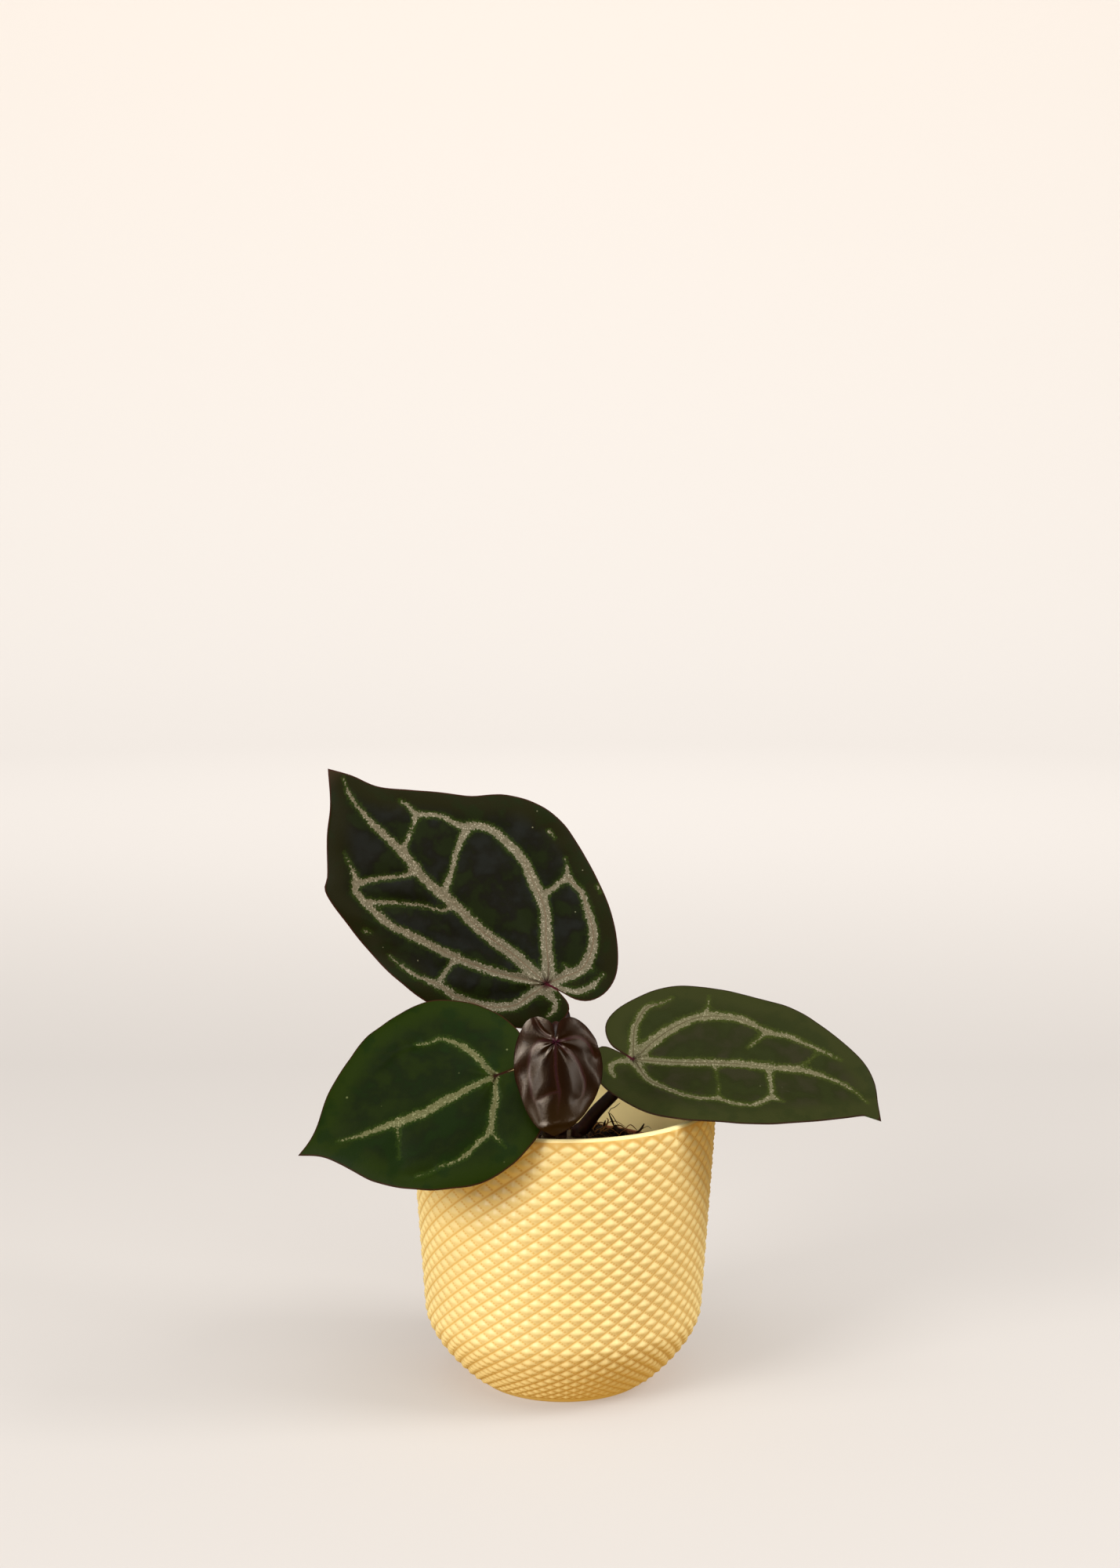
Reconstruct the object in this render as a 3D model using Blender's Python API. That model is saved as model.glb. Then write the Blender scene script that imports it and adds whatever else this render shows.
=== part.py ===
"""Potted anthurium: a young plant with four leaves, in a nursery pot set inside a cover pot.

The origin is the centre of the cover pot's base. +Z is up and -Y is the front of the plant.
Each leaf is a heart-shaped blade on its own petiole, and the petioles stand on a short crown,
which stands in a plain hole in the potting mix. Sizes are in metres.
"""

from dataclasses import dataclass
from math import atan2, cos, hypot, pi, radians, sin, sqrt

import bmesh
import bpy
from mathutils import Vector

MM = 0.001
GAP = 0.3 * MM

# Cover pot: a cup with straight, slightly flared walls that turn in to a narrower flat base
POT_HEIGHT = 70.4 * MM
RIM_RADIUS = 38.2 * MM
WALL_TAPER = 0.0674
BELLY_HEIGHT = 18.0 * MM
BELLY_DRAW_IN = 11.8 * MM
BELLY_POWER = 1.7
BASE_RADIUS = 21.0 * MM
FOOT_TOP = 0.9 * MM
BAND_INSET = 0.4 * MM
WALL = 1.7 * MM
FLOOR = 2.4 * MM
FLOOR_FILLET = 1.5 * MM
LIP_THICKNESS = 1.6 * MM
LIP_ROUND = 0.35 * MM
INNER_WALL_STEPS = (68.0, 45.0, 22.0, 13.0, 8.0, 4.0, 0.8)

# Diamond relief: furrows climb at one slope both ways and leave small pyramids between them
DIAMOND_COLUMNS = 45
HALF_ROW_PER_RADIUS = 0.05
RELIEF_DEPTH = 0.8 * MM
RELIEF_TOP = 69.8 * MM
RELIEF_BOTTOM = 2.6 * MM
RELIEF_TURN = radians(1.6)

# Nursery pot: thin-walled and tapered, with a turned-out lip and drain holes in its floor
NURSERY_SIDES = 40
NURSERY_LIP_RADIUS = 28.2 * MM
NURSERY_TOP_RADIUS = 27.0 * MM
NURSERY_BASE_RADIUS = 19.5 * MM
NURSERY_TOP = 56.4 * MM
NURSERY_LIP_DROP = 2.4 * MM
NURSERY_LIP_ROUND = 0.3 * MM
NURSERY_WALL = 0.8 * MM
DRAIN_HOLES = 4
DRAIN_RADIUS = 3.0 * MM
DRAIN_CIRCLE = 11.0 * MM

# Potting mix: heaped a little towards the crown, with a plain hole for it
SOIL_EDGE = 55.0 * MM
SOIL_HEAP = 59.0 * MM
SOIL_SWELL = 1.5 * MM
SOIL_LUMP = 0.5 * MM
SOIL_RINGS = 6
SOIL_SIDE_GAP = 0.4 * MM
SOIL_HOLE_RADIUS = 4.6 * MM
SOIL_HOLE_BOTTOM = 45.0 * MM

# Crown: the plant's short stem, wider at the top where the petioles stand
CROWN_SIDES = 24
CROWN_RADIUS = 4.3 * MM
CROWN_TOP_RADIUS = 5.7 * MM
CROWN_TOP = 61.0 * MM
CROWN_NECK_TOP = 59.6 * MM
CROWN_ROUND = 0.5 * MM

# Leaves: each blade is a disc of spokes and rings, shaped to its margin
SPOKES = 52
RINGS = 5
CREASE_WIDTH = 2.0 * MM
PETIOLE_STATIONS = 16
PETIOLE_FOOT = 1.2

# Base colours, as linear red, green and blue
POT_YELLOW = (0.93, 0.74, 0.33)
NURSERY_BROWN = (0.28, 0.08, 0.04)
SOIL_BROWN = (0.05, 0.03, 0.018)
STALK_MAROON = (0.06, 0.018, 0.014)
GUIDE_GREY = (0.5, 0.5, 0.5)
LEAF_COLOURS = {
    "back": (0.024, 0.040, 0.018),
    "right": (0.060, 0.095, 0.050),
    "left": (0.025, 0.085, 0.018),
    "young": (0.070, 0.030, 0.016),
}


@dataclass(frozen=True)
class Petiole:
    """A leaf stalk: its route's points, in mm, from the crown to the back of the blade.

    It leaves the crown upright for PETIOLE_FOOT mm, so that its flat foot stands level.
    """

    route: tuple
    base_radius: float
    top_radius: float


@dataclass(frozen=True)
class Leaf:
    """A blade and its stalk. Margin points are (across, along) the midrib, in mm, sinus to tip."""

    name: str
    attachment: tuple
    along: tuple
    face: tuple
    right_margin: tuple
    left_margin: tuple
    right_fold: float
    left_fold: float
    bow: float
    length: float
    thickness: float
    wave: float
    wave_count: int
    wave_phase: float
    petiole: Petiole


BACK_LEAF = Leaf(
    name="back",
    attachment=(-4.3, 6.0, 98.1),
    along=(-0.70, 0.14, 0.70),
    face=(0.10, -0.93, 0.36),
    right_margin=(
        (1.0, -3.0), (2.6, -8.0), (5.5, -11.0), (10.0, -12.0), (15.0, -10.5), (20.0, -6.0),
        (24.5, 0.5), (28.0, 8.0), (31.0, 17.0), (32.5, 26.5), (31.0, 34.5), (27.0, 41.5),
        (20.0, 47.5), (15.0, 53.5), (10.5, 58.5), (5.0, 65.0), (2.3, 71.5), (-0.8, 77.0),
    ),
    left_margin=(
        (1.0, -3.0), (0.5, -7.5), (-2.0, -9.2), (-7.0, -8.3), (-13.0, -2.0), (-19.0, 7.0),
        (-23.5, 17.5), (-25.0, 30.0), (-24.0, 45.0), (-22.4, 55.0), (-19.0, 58.0),
        (-12.5, 65.0), (-6.7, 70.0), (-0.8, 77.0),
    ),
    right_fold=0.10,
    left_fold=0.38,
    bow=4.0 * MM,
    length=77.0 * MM,
    thickness=0.7 * MM,
    wave=0.7 * MM,
    wave_count=8,
    wave_phase=0.6,
    petiole=Petiole(
        route=(
            (-1.0, 3.3, 61.3), (-1.0, 3.4, 64.0), (0.4, 7.0, 76.0), (0.4, 10.6, 88.0),
            (-3.2, 11.4, 95.2), (-4.7, 9.0, 97.1), (-4.4, 6.7, 97.9),
        ),
        base_radius=2.0 * MM,
        top_radius=1.4 * MM,
    ),
)

RIGHT_LEAF = Leaf(
    name="right",
    attachment=(17.0, -5.0, 81.5),
    along=(0.99, -0.139, -0.02),
    face=(-0.02, -0.56, 0.82),
    right_margin=(
        (-1.2, -1.6), (-3.6, -7.0), (-2.5, -9.3), (1.5, -9.8), (6.3, -8.3), (10.5, -6.0),
        (14.5, -2.0), (18.0, 4.0), (20.0, 11.0), (20.6, 19.0), (19.3, 28.0), (17.0, 37.0),
        (14.3, 45.0), (10.8, 52.0), (8.0, 57.5), (8.7, 61.0),
    ),
    left_margin=(
        (-1.2, -1.6), (-4.4, -6.0), (-9.5, -7.8), (-14.3, -5.6), (-18.5, 0.0), (-21.5, 7.0),
        (-22.6, 15.0), (-22.4, 23.0), (-20.8, 31.0), (-19.0, 40.0), (-15.3, 47.6),
        (-9.6, 55.2), (-3.9, 58.9), (3.5, 60.2), (8.7, 61.0),
    ),
    right_fold=-0.18,
    left_fold=-0.18,
    bow=9.0 * MM,
    length=62.0 * MM,
    thickness=0.7 * MM,
    wave=0.5 * MM,
    wave_count=7,
    wave_phase=2.0,
    petiole=Petiole(
        route=(
            (3.6, -0.7, 61.3), (5.0, -0.8, 63.3), (8.2, -1.2, 67.5), (12.4, -1.6, 72.0),
            (15.5, -2.1, 75.8), (17.1, -3.2, 78.9), (17.04, -4.64, 80.96),
        ),
        base_radius=1.9 * MM,
        top_radius=1.5 * MM,
    ),
)

LEFT_LEAF = Leaf(
    name="left",
    attachment=(-16.0, -30.5, 84.0),
    along=(-0.93, -0.17, -0.30),
    face=(-0.06, -0.80, 0.60),
    right_margin=(
        (0.1, -1.8), (1.6, -6.5), (5.0, -9.2), (10.0, -8.8), (16.0, -5.6), (21.0, 0.0),
        (24.5, 7.5), (24.9, 14.0), (22.3, 23.6), (18.0, 30.3), (11.5, 38.0), (4.2, 43.3),
        (1.2, 46.3), (-0.8, 49.4),
    ),
    left_margin=(
        (0.1, -1.8), (-1.8, -6.6), (-5.5, -9.0), (-11.0, -8.4), (-16.5, -5.3), (-20.5, 1.0),
        (-22.8, 9.0), (-22.0, 18.0), (-18.8, 27.0), (-13.5, 34.8), (-6.8, 40.7),
        (-3.2, 44.5), (-0.8, 49.4),
    ),
    right_fold=0.08,
    left_fold=0.08,
    bow=3.0 * MM,
    length=50.0 * MM,
    thickness=0.7 * MM,
    wave=0.5 * MM,
    wave_count=6,
    wave_phase=1.0,
    petiole=Petiole(
        route=(
            (-3.3, -1.1, 61.3), (-3.5, -1.6, 63.5), (-6.9, -8.0, 71.0), (-11.5, -17.0, 77.3),
            (-15.0, -24.8, 80.3), (-15.84, -27.95, 82.07), (-15.97, -29.98, 83.61),
        ),
        base_radius=1.9 * MM,
        top_radius=1.3 * MM,
    ),
)

YOUNG_LEAF = Leaf(
    name="young",
    attachment=(-1.8, -38.0, 94.3),
    along=(-0.02, -0.16, -0.99),
    face=(0.0, -0.97, 0.16),
    right_margin=(
        (0.0, -0.8), (0.8, -3.8), (2.3, -5.0), (4.5, -5.5), (6.8, -4.4), (8.6, -1.0),
        (9.6, 3.5), (9.4, 8.5), (7.9, 13.0), (6.2, 17.0), (4.0, 20.0), (1.5, 21.3),
        (-0.1, 22.0),
    ),
    left_margin=(
        (0.0, -0.8), (-0.6, -4.3), (-2.6, -5.6), (-5.0, -5.1), (-7.5, -3.0), (-9.5, 0.0),
        (-10.9, 4.5), (-10.9, 9.0), (-9.5, 13.0), (-7.2, 16.7), (-4.3, 19.6), (-1.8, 21.2),
        (-0.1, 22.0),
    ),
    right_fold=0.35,
    left_fold=0.35,
    bow=0.0,
    length=22.0 * MM,
    thickness=0.6 * MM,
    wave=0.35 * MM,
    wave_count=9,
    wave_phase=0.0,
    petiole=Petiole(
        route=(
            (-0.6, -4.0, 61.3), (-0.6, -4.4, 63.5), (-0.8, -14.0, 77.0), (-1.2, -26.0, 90.2),
            (-1.7, -32.4, 96.4), (-1.8, -34.6, 96.6), (-1.8, -35.9, 95.0), (-1.8, -37.1, 94.2),
        ),
        base_radius=1.5 * MM,
        top_radius=0.9 * MM,
    ),
)

LEAVES = (BACK_LEAF, RIGHT_LEAF, LEFT_LEAF, YOUNG_LEAF)


def clear_scene():
    """Removes every object that the scene starts with."""
    for item in list(bpy.data.objects):
        bpy.data.objects.remove(item, do_unlink=True)


def principled(name, colour, roughness, metallic=0.0):
    """Returns a new material with a Principled BSDF of this colour and roughness."""
    material = bpy.data.materials.new(name)
    material.use_nodes = True
    shader = material.node_tree.nodes["Principled BSDF"]
    shader.inputs["Base Color"].default_value = (*colour, 1.0)
    shader.inputs["Roughness"].default_value = roughness
    shader.inputs["Metallic"].default_value = metallic
    return material


def add_object(name, data, material):
    """Links one named object with its own material to the scene."""
    item = bpy.data.objects.new(name, data)
    data.materials.append(material)
    bpy.context.scene.collection.objects.link(item)
    return item


def add_mesh(name, bm, material, sharp_angle=radians(35)):
    """Turns a bmesh into a smooth-shaded object, with edges sharp above an angle."""
    bmesh.ops.recalc_face_normals(bm, faces=bm.faces)
    mesh = bpy.data.meshes.new(name)
    bm.to_mesh(mesh)
    bm.free()
    mesh.shade_smooth()
    mesh.set_sharp_from_angle(angle=sharp_angle)
    return add_object(name, mesh, material)


def turned(profile, sides, start_angle=0.0, tags=None):
    """Spins a (radius, height) profile round the Z axis into a bmesh.

    tags gives each profile point a whole number, which its copies keep in the layer "tag".
    """
    bm = bmesh.new()
    layer = bm.verts.layers.int.new("tag")
    points = []
    for index, (radius, height) in enumerate(profile):
        place = (radius * sin(start_angle), -radius * cos(start_angle), height)
        point = bm.verts.new(place)
        point[layer] = tags[index] if tags else 0
        points.append(point)
    edges = [bm.edges.new(pair) for pair in zip(points, points[1:])]
    bmesh.ops.spin(
        bm, geom=points + edges, cent=(0, 0, 0), axis=(0, 0, 1), angle=2 * pi, steps=sides, use_merge=True
    )
    bmesh.ops.remove_doubles(bm, verts=bm.verts, dist=0.001 * MM)
    return bm


def smooth_curve(points, count):
    """Returns count points spread evenly along a smooth curve through the given ones."""
    points = [Vector(point) for point in points]
    ends = [2 * points[0] - points[1], *points, 2 * points[-1] - points[-2]]
    fine = []
    for before, start, end, after in zip(ends, ends[1:], ends[2:], ends[3:]):
        for step in range(12):
            t = step / 12
            fine.append(
                0.5
                * (
                    2 * start
                    + (end - before) * t
                    + (2 * before - 5 * start + 4 * end - after) * t**2
                    + (3 * start - before - 3 * end + after) * t**3
                )
            )
    fine.append(points[-1])
    travelled = [0.0]
    for start, end in zip(fine, fine[1:]):
        travelled.append(travelled[-1] + (end - start).length)
    spread = []
    segment = 0
    for index in range(count):
        target = travelled[-1] * index / (count - 1)
        while segment < len(fine) - 2 and travelled[segment + 1] < target:
            segment += 1
        share = (target - travelled[segment]) / (travelled[segment + 1] - travelled[segment])
        spread.append(fine[segment].lerp(fine[segment + 1], share))
    return spread


def tip_radius(height):
    """Radius over the relief's tips at a height above the base."""
    turned_in = max(0.0, 1 - height / BELLY_HEIGHT)
    return RIM_RADIUS - WALL_TAPER * (POT_HEIGHT - height) - BELLY_DRAW_IN * turned_in**BELLY_POWER


def wall_slope(height):
    """How fast the radius grows with the height."""
    step = 0.05 * MM
    return (tip_radius(height + step) - tip_radius(height - step)) / (2 * step)


def wall_point(height, inset):
    """The (radius, height) point that lies inset below the tips' surface, square to it."""
    slope = wall_slope(height)
    scale = inset / hypot(1, slope)
    return tip_radius(height) - scale, height + slope * scale


def relief_heights():
    """Heights of the relief's half rows from the rim down, in steps that shrink with the radius."""
    heights = [RELIEF_TOP]
    while heights[-1] > RELIEF_BOTTOM:
        step = HALF_ROW_PER_RADIUS * tip_radius(heights[-1]) / hypot(1, wall_slope(heights[-1]))
        heights.append(heights[-1] - step)
    return heights[:-1]


def cover_pot_profile(rows):
    """The cup's section, from the base's centre up the outside, over the lip and down the inside.

    Returns:
        The (radius, height) points, and for each its half row's number, or 0 off the relief.
    """
    foot = [(0.0, 0.0), (BASE_RADIUS, 0.0), wall_point(FOOT_TOP, BAND_INSET)]
    relief = [wall_point(height, RELIEF_DEPTH) for height in reversed(rows)]
    lip = RIM_RADIUS - RELIEF_DEPTH
    rim = [
        (lip, POT_HEIGHT - LIP_ROUND),
        (lip - LIP_ROUND, POT_HEIGHT),
        (lip - LIP_THICKNESS + LIP_ROUND, POT_HEIGHT),
        (lip - LIP_THICKNESS, POT_HEIGHT - LIP_ROUND),
    ]
    inside = [wall_point(height * MM, RELIEF_DEPTH + WALL) for height in INNER_WALL_STEPS]
    floor = [(inside[-1][0] - FLOOR_FILLET, FLOOR), (0.0, FLOOR)]
    numbers = list(range(len(rows), 0, -1))
    profile = foot + relief + rim + inside + floor
    tags = [0] * len(foot) + numbers + [0] * (len(rim) + len(inside) + len(floor))
    return profile, tags


def cover_pot():
    """The decorative cup: a turned wall whose outside is raised into rows of small pyramids."""
    rows = relief_heights()
    profile, tags = cover_pot_profile(rows)
    sides = 2 * DIAMOND_COLUMNS
    bm = turned(profile, sides, start_angle=RELIEF_TURN, tags=tags)
    layer = bm.verts.layers.int["tag"]
    furrow_corners = []
    for point in bm.verts:
        row = point[layer]
        if row == 0:
            continue
        angle = atan2(point.co.x, -point.co.y) - RELIEF_TURN
        column = round(angle * sides / (2 * pi))
        if (row + column) % 2:
            furrow_corners.append(point)
        elif 1 < row < len(rows):
            height = rows[row - 1]
            outward = point.co.xy.normalized() * tip_radius(height)
            point.co = (outward.x, outward.y, height)
    bmesh.ops.connect_verts(bm, verts=furrow_corners)
    add_mesh("cover_pot", bm, principled("cover_pot", POT_YELLOW, 0.5), sharp_angle=radians(12))


def nursery_inner_radius(height):
    """Radius of the nursery pot's inner wall at a height."""
    share = (height - FLOOR - GAP) / (NURSERY_TOP - NURSERY_LIP_DROP - FLOOR - GAP)
    outer = NURSERY_BASE_RADIUS + share * (NURSERY_TOP_RADIUS - NURSERY_BASE_RADIUS)
    return outer - NURSERY_WALL


def nursery_pot():
    """The thin plastic pot that the plant grows in, standing on the cover pot's floor."""
    bottom = FLOOR + GAP
    lip_bottom = NURSERY_TOP - NURSERY_LIP_DROP
    floor_top = bottom + NURSERY_WALL
    profile = [
        (0.0, bottom),
        (NURSERY_BASE_RADIUS, bottom),
        (NURSERY_TOP_RADIUS, lip_bottom),
        (NURSERY_LIP_RADIUS, lip_bottom),
        (NURSERY_LIP_RADIUS, NURSERY_TOP - NURSERY_LIP_ROUND),
        (NURSERY_LIP_RADIUS - NURSERY_LIP_ROUND, NURSERY_TOP),
        (NURSERY_TOP_RADIUS, NURSERY_TOP),
        (nursery_inner_radius(lip_bottom), lip_bottom),
        (nursery_inner_radius(floor_top), floor_top),
        (0.0, floor_top),
    ]
    pot = add_mesh("grow_pot", turned(profile, NURSERY_SIDES), principled("grow_pot", NURSERY_BROWN, 0.5))
    cutter = pot.modifiers.new("drain_holes", "BOOLEAN")
    cutter.operation = "DIFFERENCE"
    cutter.solver = "EXACT"
    cutter.object = drain_cutter(bottom)


def drain_cutter(bottom):
    """Cylinders where the nursery pot's floor is pierced. It is a guide, not a piece."""
    bm = bmesh.new()
    for index in range(DRAIN_HOLES):
        angle = pi / 4 + 2 * pi * index / DRAIN_HOLES
        made = bmesh.ops.create_cone(
            bm,
            cap_ends=True,
            segments=16,
            radius1=DRAIN_RADIUS,
            radius2=DRAIN_RADIUS,
            depth=4 * NURSERY_WALL,
        )
        centre = Vector((DRAIN_CIRCLE * cos(angle), DRAIN_CIRCLE * sin(angle), bottom + NURSERY_WALL / 2))
        bmesh.ops.translate(bm, verts=made["verts"], vec=centre)
    guide = add_mesh("drain_cutter", bm, principled("drain_cutter", GUIDE_GREY, 0.5))
    guide.hide_render = True
    guide.display_type = "WIRE"
    return guide


def soil():
    """The potting mix: it fills the nursery pot, heaped and lumpy on top, with the crown's hole."""
    bottom = FLOOR + GAP + NURSERY_WALL + GAP
    edge_radius = nursery_inner_radius(SOIL_EDGE) - SOIL_SIDE_GAP
    heap = []
    for ring in range(SOIL_RINGS + 1):
        share = ring / SOIL_RINGS
        radius = SOIL_HOLE_RADIUS + share * (edge_radius - SOIL_HOLE_RADIUS)
        fall = (SOIL_EDGE - SOIL_HEAP) * share**1.5
        heap.append((radius, SOIL_HEAP + fall + SOIL_SWELL * sin(pi * share)))
    profile = [
        (0.0, SOIL_HOLE_BOTTOM),
        (SOIL_HOLE_RADIUS, SOIL_HOLE_BOTTOM),
        *heap,
        (nursery_inner_radius(bottom) - SOIL_SIDE_GAP, bottom),
        (0.0, bottom),
    ]
    tags = [0, 0, *[1] * len(heap), 0, 0]
    bm = turned(profile, NURSERY_SIDES, tags=tags)
    layer = bm.verts.layers.int["tag"]
    for point in bm.verts:
        if point[layer]:
            x, y = point.co.x / MM, point.co.y / MM
            lumps = sin(0.9 * x + 1.3 * y) + sin(1.7 * y - 0.6 * x + 1.0) + sin(1.4 * x + 2.0)
            point.co.z += SOIL_LUMP * lumps / 3
    add_mesh("soil", bm, principled("soil", SOIL_BROWN, 0.9))


def crown():
    """The short stem that carries the petioles, standing in the potting mix."""
    foot = SOIL_HOLE_BOTTOM + GAP
    profile = [
        (0.0, foot),
        (CROWN_RADIUS - CROWN_ROUND, foot),
        (CROWN_RADIUS, foot + CROWN_ROUND),
        (CROWN_RADIUS, CROWN_NECK_TOP),
        (CROWN_TOP_RADIUS, CROWN_TOP - CROWN_ROUND),
        (CROWN_TOP_RADIUS - CROWN_ROUND / 2, CROWN_TOP),
        (0.0, CROWN_TOP),
    ]
    add_mesh("crown", turned(profile, CROWN_SIDES), principled("crown", STALK_MAROON, 0.5))


class BladeSurface:
    """The curved sheet that a blade lies on, and its margin, in the leaf's own axes."""

    def __init__(self, leaf):
        self.leaf = leaf
        self.origin = Vector(leaf.attachment) * MM
        self.along = Vector(leaf.along).normalized()
        face = Vector(leaf.face)
        self.normal = (face - self.along * face.dot(self.along)).normalized()
        self.across = self.along.cross(self.normal)
        half = SPOKES // 2 + 1
        right = smooth_curve([(x * MM, y * MM, 0.0) for x, y in leaf.right_margin], half)
        left = smooth_curve([(x * MM, y * MM, 0.0) for x, y in leaf.left_margin], half)
        self.margin = right + left[-2:0:-1]

    def lift(self, across, along):
        """Height of the sheet above its plane, from the fold at the midrib and the bow."""
        leaf = self.leaf
        fold = leaf.right_fold if across > 0 else leaf.left_fold
        crease = sqrt(across**2 + CREASE_WIDTH**2) - CREASE_WIDTH
        return -fold * crease - leaf.bow * (along / leaf.length) ** 2

    def point(self, spoke, share):
        """World position on a spoke, at a share of the way from the petiole to the margin."""
        leaf = self.leaf
        edge = self.margin[spoke]
        across, along = edge.x * share, edge.y * share
        turn = 2 * pi * leaf.wave_count * spoke / SPOKES
        height = self.lift(across, along) + leaf.wave * share**2 * sin(turn + leaf.wave_phase)
        return self.origin + self.across * across + self.along * along + self.normal * height


def blade(leaf):
    """A thin heart-shaped sheet: a spun disc, shaped to the margin and given its thickness."""
    surface = BladeSurface(leaf)
    bm = bmesh.new()
    rib = [bm.verts.new((0.0, -ring / RINGS, 0.0)) for ring in range(RINGS + 1)]
    edges = [bm.edges.new(pair) for pair in zip(rib, rib[1:])]
    bmesh.ops.spin(
        bm, geom=rib + edges, cent=(0, 0, 0), axis=(0, 0, 1), angle=2 * pi, steps=SPOKES, use_merge=True
    )
    bmesh.ops.remove_doubles(bm, verts=bm.verts, dist=0.001)
    for point in bm.verts:
        share = point.co.xy.length
        angle = atan2(point.co.x, -point.co.y) % (2 * pi)
        spoke = round(angle * SPOKES / (2 * pi)) % SPOKES
        point.co = surface.point(spoke, share)
    bmesh.ops.triangulate(bm, faces=bm.faces, quad_method="FIXED")
    name = f"leaf_{leaf.name}"
    sheet = add_mesh(name, bm, principled(name, LEAF_COLOURS[leaf.name], 0.4))
    thickness = sheet.modifiers.new("thickness", "SOLIDIFY")
    thickness.thickness = leaf.thickness
    thickness.offset = 0.0


def petiole(leaf):
    """A tapered stalk from the crown to the back of the blade."""
    stalk = leaf.petiole
    name = f"petiole_{leaf.name}"
    data = bpy.data.curves.new(name, "CURVE")
    data.dimensions = "3D"
    data.bevel_depth = stalk.base_radius
    data.bevel_resolution = 3
    data.use_fill_caps = True
    spline = data.splines.new("POLY")
    foot = Vector(stalk.route[0])
    upright = foot + Vector((0.0, 0.0, PETIOLE_FOOT))
    route = [foot, *smooth_curve([upright, *stalk.route[1:]], PETIOLE_STATIONS)]
    spline.points.add(len(route) - 1)
    for index, (point, place) in enumerate(zip(spline.points, route)):
        share = index / (len(route) - 1)
        point.co = (*(place * MM), 1.0)
        point.radius = 1 + share * (stalk.top_radius / stalk.base_radius - 1)
    spline.use_smooth = True
    add_object(name, data, principled(name, STALK_MAROON, 0.4))


def main():
    """Builds every piece of the potted plant."""
    clear_scene()
    cover_pot()
    nursery_pot()
    soil()
    crown()
    for leaf in LEAVES:
        petiole(leaf)
        blade(leaf)


main()
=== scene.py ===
"""Finish of a potted anthurium: four veined leaves, a diamond-relief cover pot and potting mix.

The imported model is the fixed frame: +Z is up, -Y is the front of the plant, and the origin is
the centre of the cover pot's base. Lengths named in millimetres are turned to metres by MM.
"""

import logging
from dataclasses import dataclass
from enum import Enum
from math import atan2, cos, hypot, pi, radians, sin
from random import Random

import bmesh
import bpy
import numpy as np
from bmesh.types import BMesh, BMFace, BMVert
from bpy.types import Material, Node, NodeSocket, NodeTree, Object
from mathutils import Matrix, Vector, noise


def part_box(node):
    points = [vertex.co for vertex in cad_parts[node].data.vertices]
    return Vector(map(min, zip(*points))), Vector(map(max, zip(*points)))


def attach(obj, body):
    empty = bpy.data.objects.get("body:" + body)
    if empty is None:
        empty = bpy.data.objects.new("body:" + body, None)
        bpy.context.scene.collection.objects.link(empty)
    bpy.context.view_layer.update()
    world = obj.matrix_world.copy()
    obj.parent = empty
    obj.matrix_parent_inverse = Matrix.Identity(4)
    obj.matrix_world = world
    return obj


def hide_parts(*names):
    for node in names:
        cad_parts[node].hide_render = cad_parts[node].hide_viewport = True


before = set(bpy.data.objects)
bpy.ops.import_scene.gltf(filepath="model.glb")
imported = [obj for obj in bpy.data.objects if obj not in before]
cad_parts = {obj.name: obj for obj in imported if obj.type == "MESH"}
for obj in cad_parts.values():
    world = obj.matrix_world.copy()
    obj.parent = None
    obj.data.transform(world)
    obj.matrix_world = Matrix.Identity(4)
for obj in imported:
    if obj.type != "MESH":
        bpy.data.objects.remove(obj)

LOG = logging.getLogger("potted_anthurium")
MM = 0.001
BODY = "root"
PHOTO_HEIGHT = 2000
SPLINE_STEPS = 12
JOINED = 0.001 * MM

Route = tuple[tuple[float, ...], ...]
Place = tuple[float, float, float]
Limits = tuple[float, float]


def linear(code: str) -> tuple[float, float, float, float]:
    """Turns an sRGB hex colour into the linear colour that shaders use.

    Args:
        code: The colour as # and six hex digits.

    Returns:
        Linear red, green and blue, and an alpha of one.
    """
    channels = [int(code[start : start + 2], 16) / 255 for start in (1, 3, 5)]
    curved = [c / 12.92 if c <= 0.04045 else ((c + 0.055) / 1.055) ** 2.4 for c in channels]
    return curved[0], curved[1], curved[2], 1.0


def add_node(tree: NodeTree, kind: str, inputs: dict | None = None, **settings) -> Node:
    """Adds one node with its settings, its values and its links.

    Args:
        tree: The node tree that gets the node.
        kind: The node's type name.
        inputs: For each socket's name or number a value, an output socket to link from, or a node
            whose first output is linked.
        settings: Values for the node's own properties.

    Returns:
        The new node.
    """
    node = tree.nodes.new(kind)
    for name, value in settings.items():
        setattr(node, name, value)
    for name, value in (inputs or {}).items():
        source = value.outputs[0] if isinstance(value, Node) else value
        if isinstance(source, NodeSocket):
            tree.links.new(source, node.inputs[name])
        else:
            node.inputs[name].default_value = source
    return node


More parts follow.
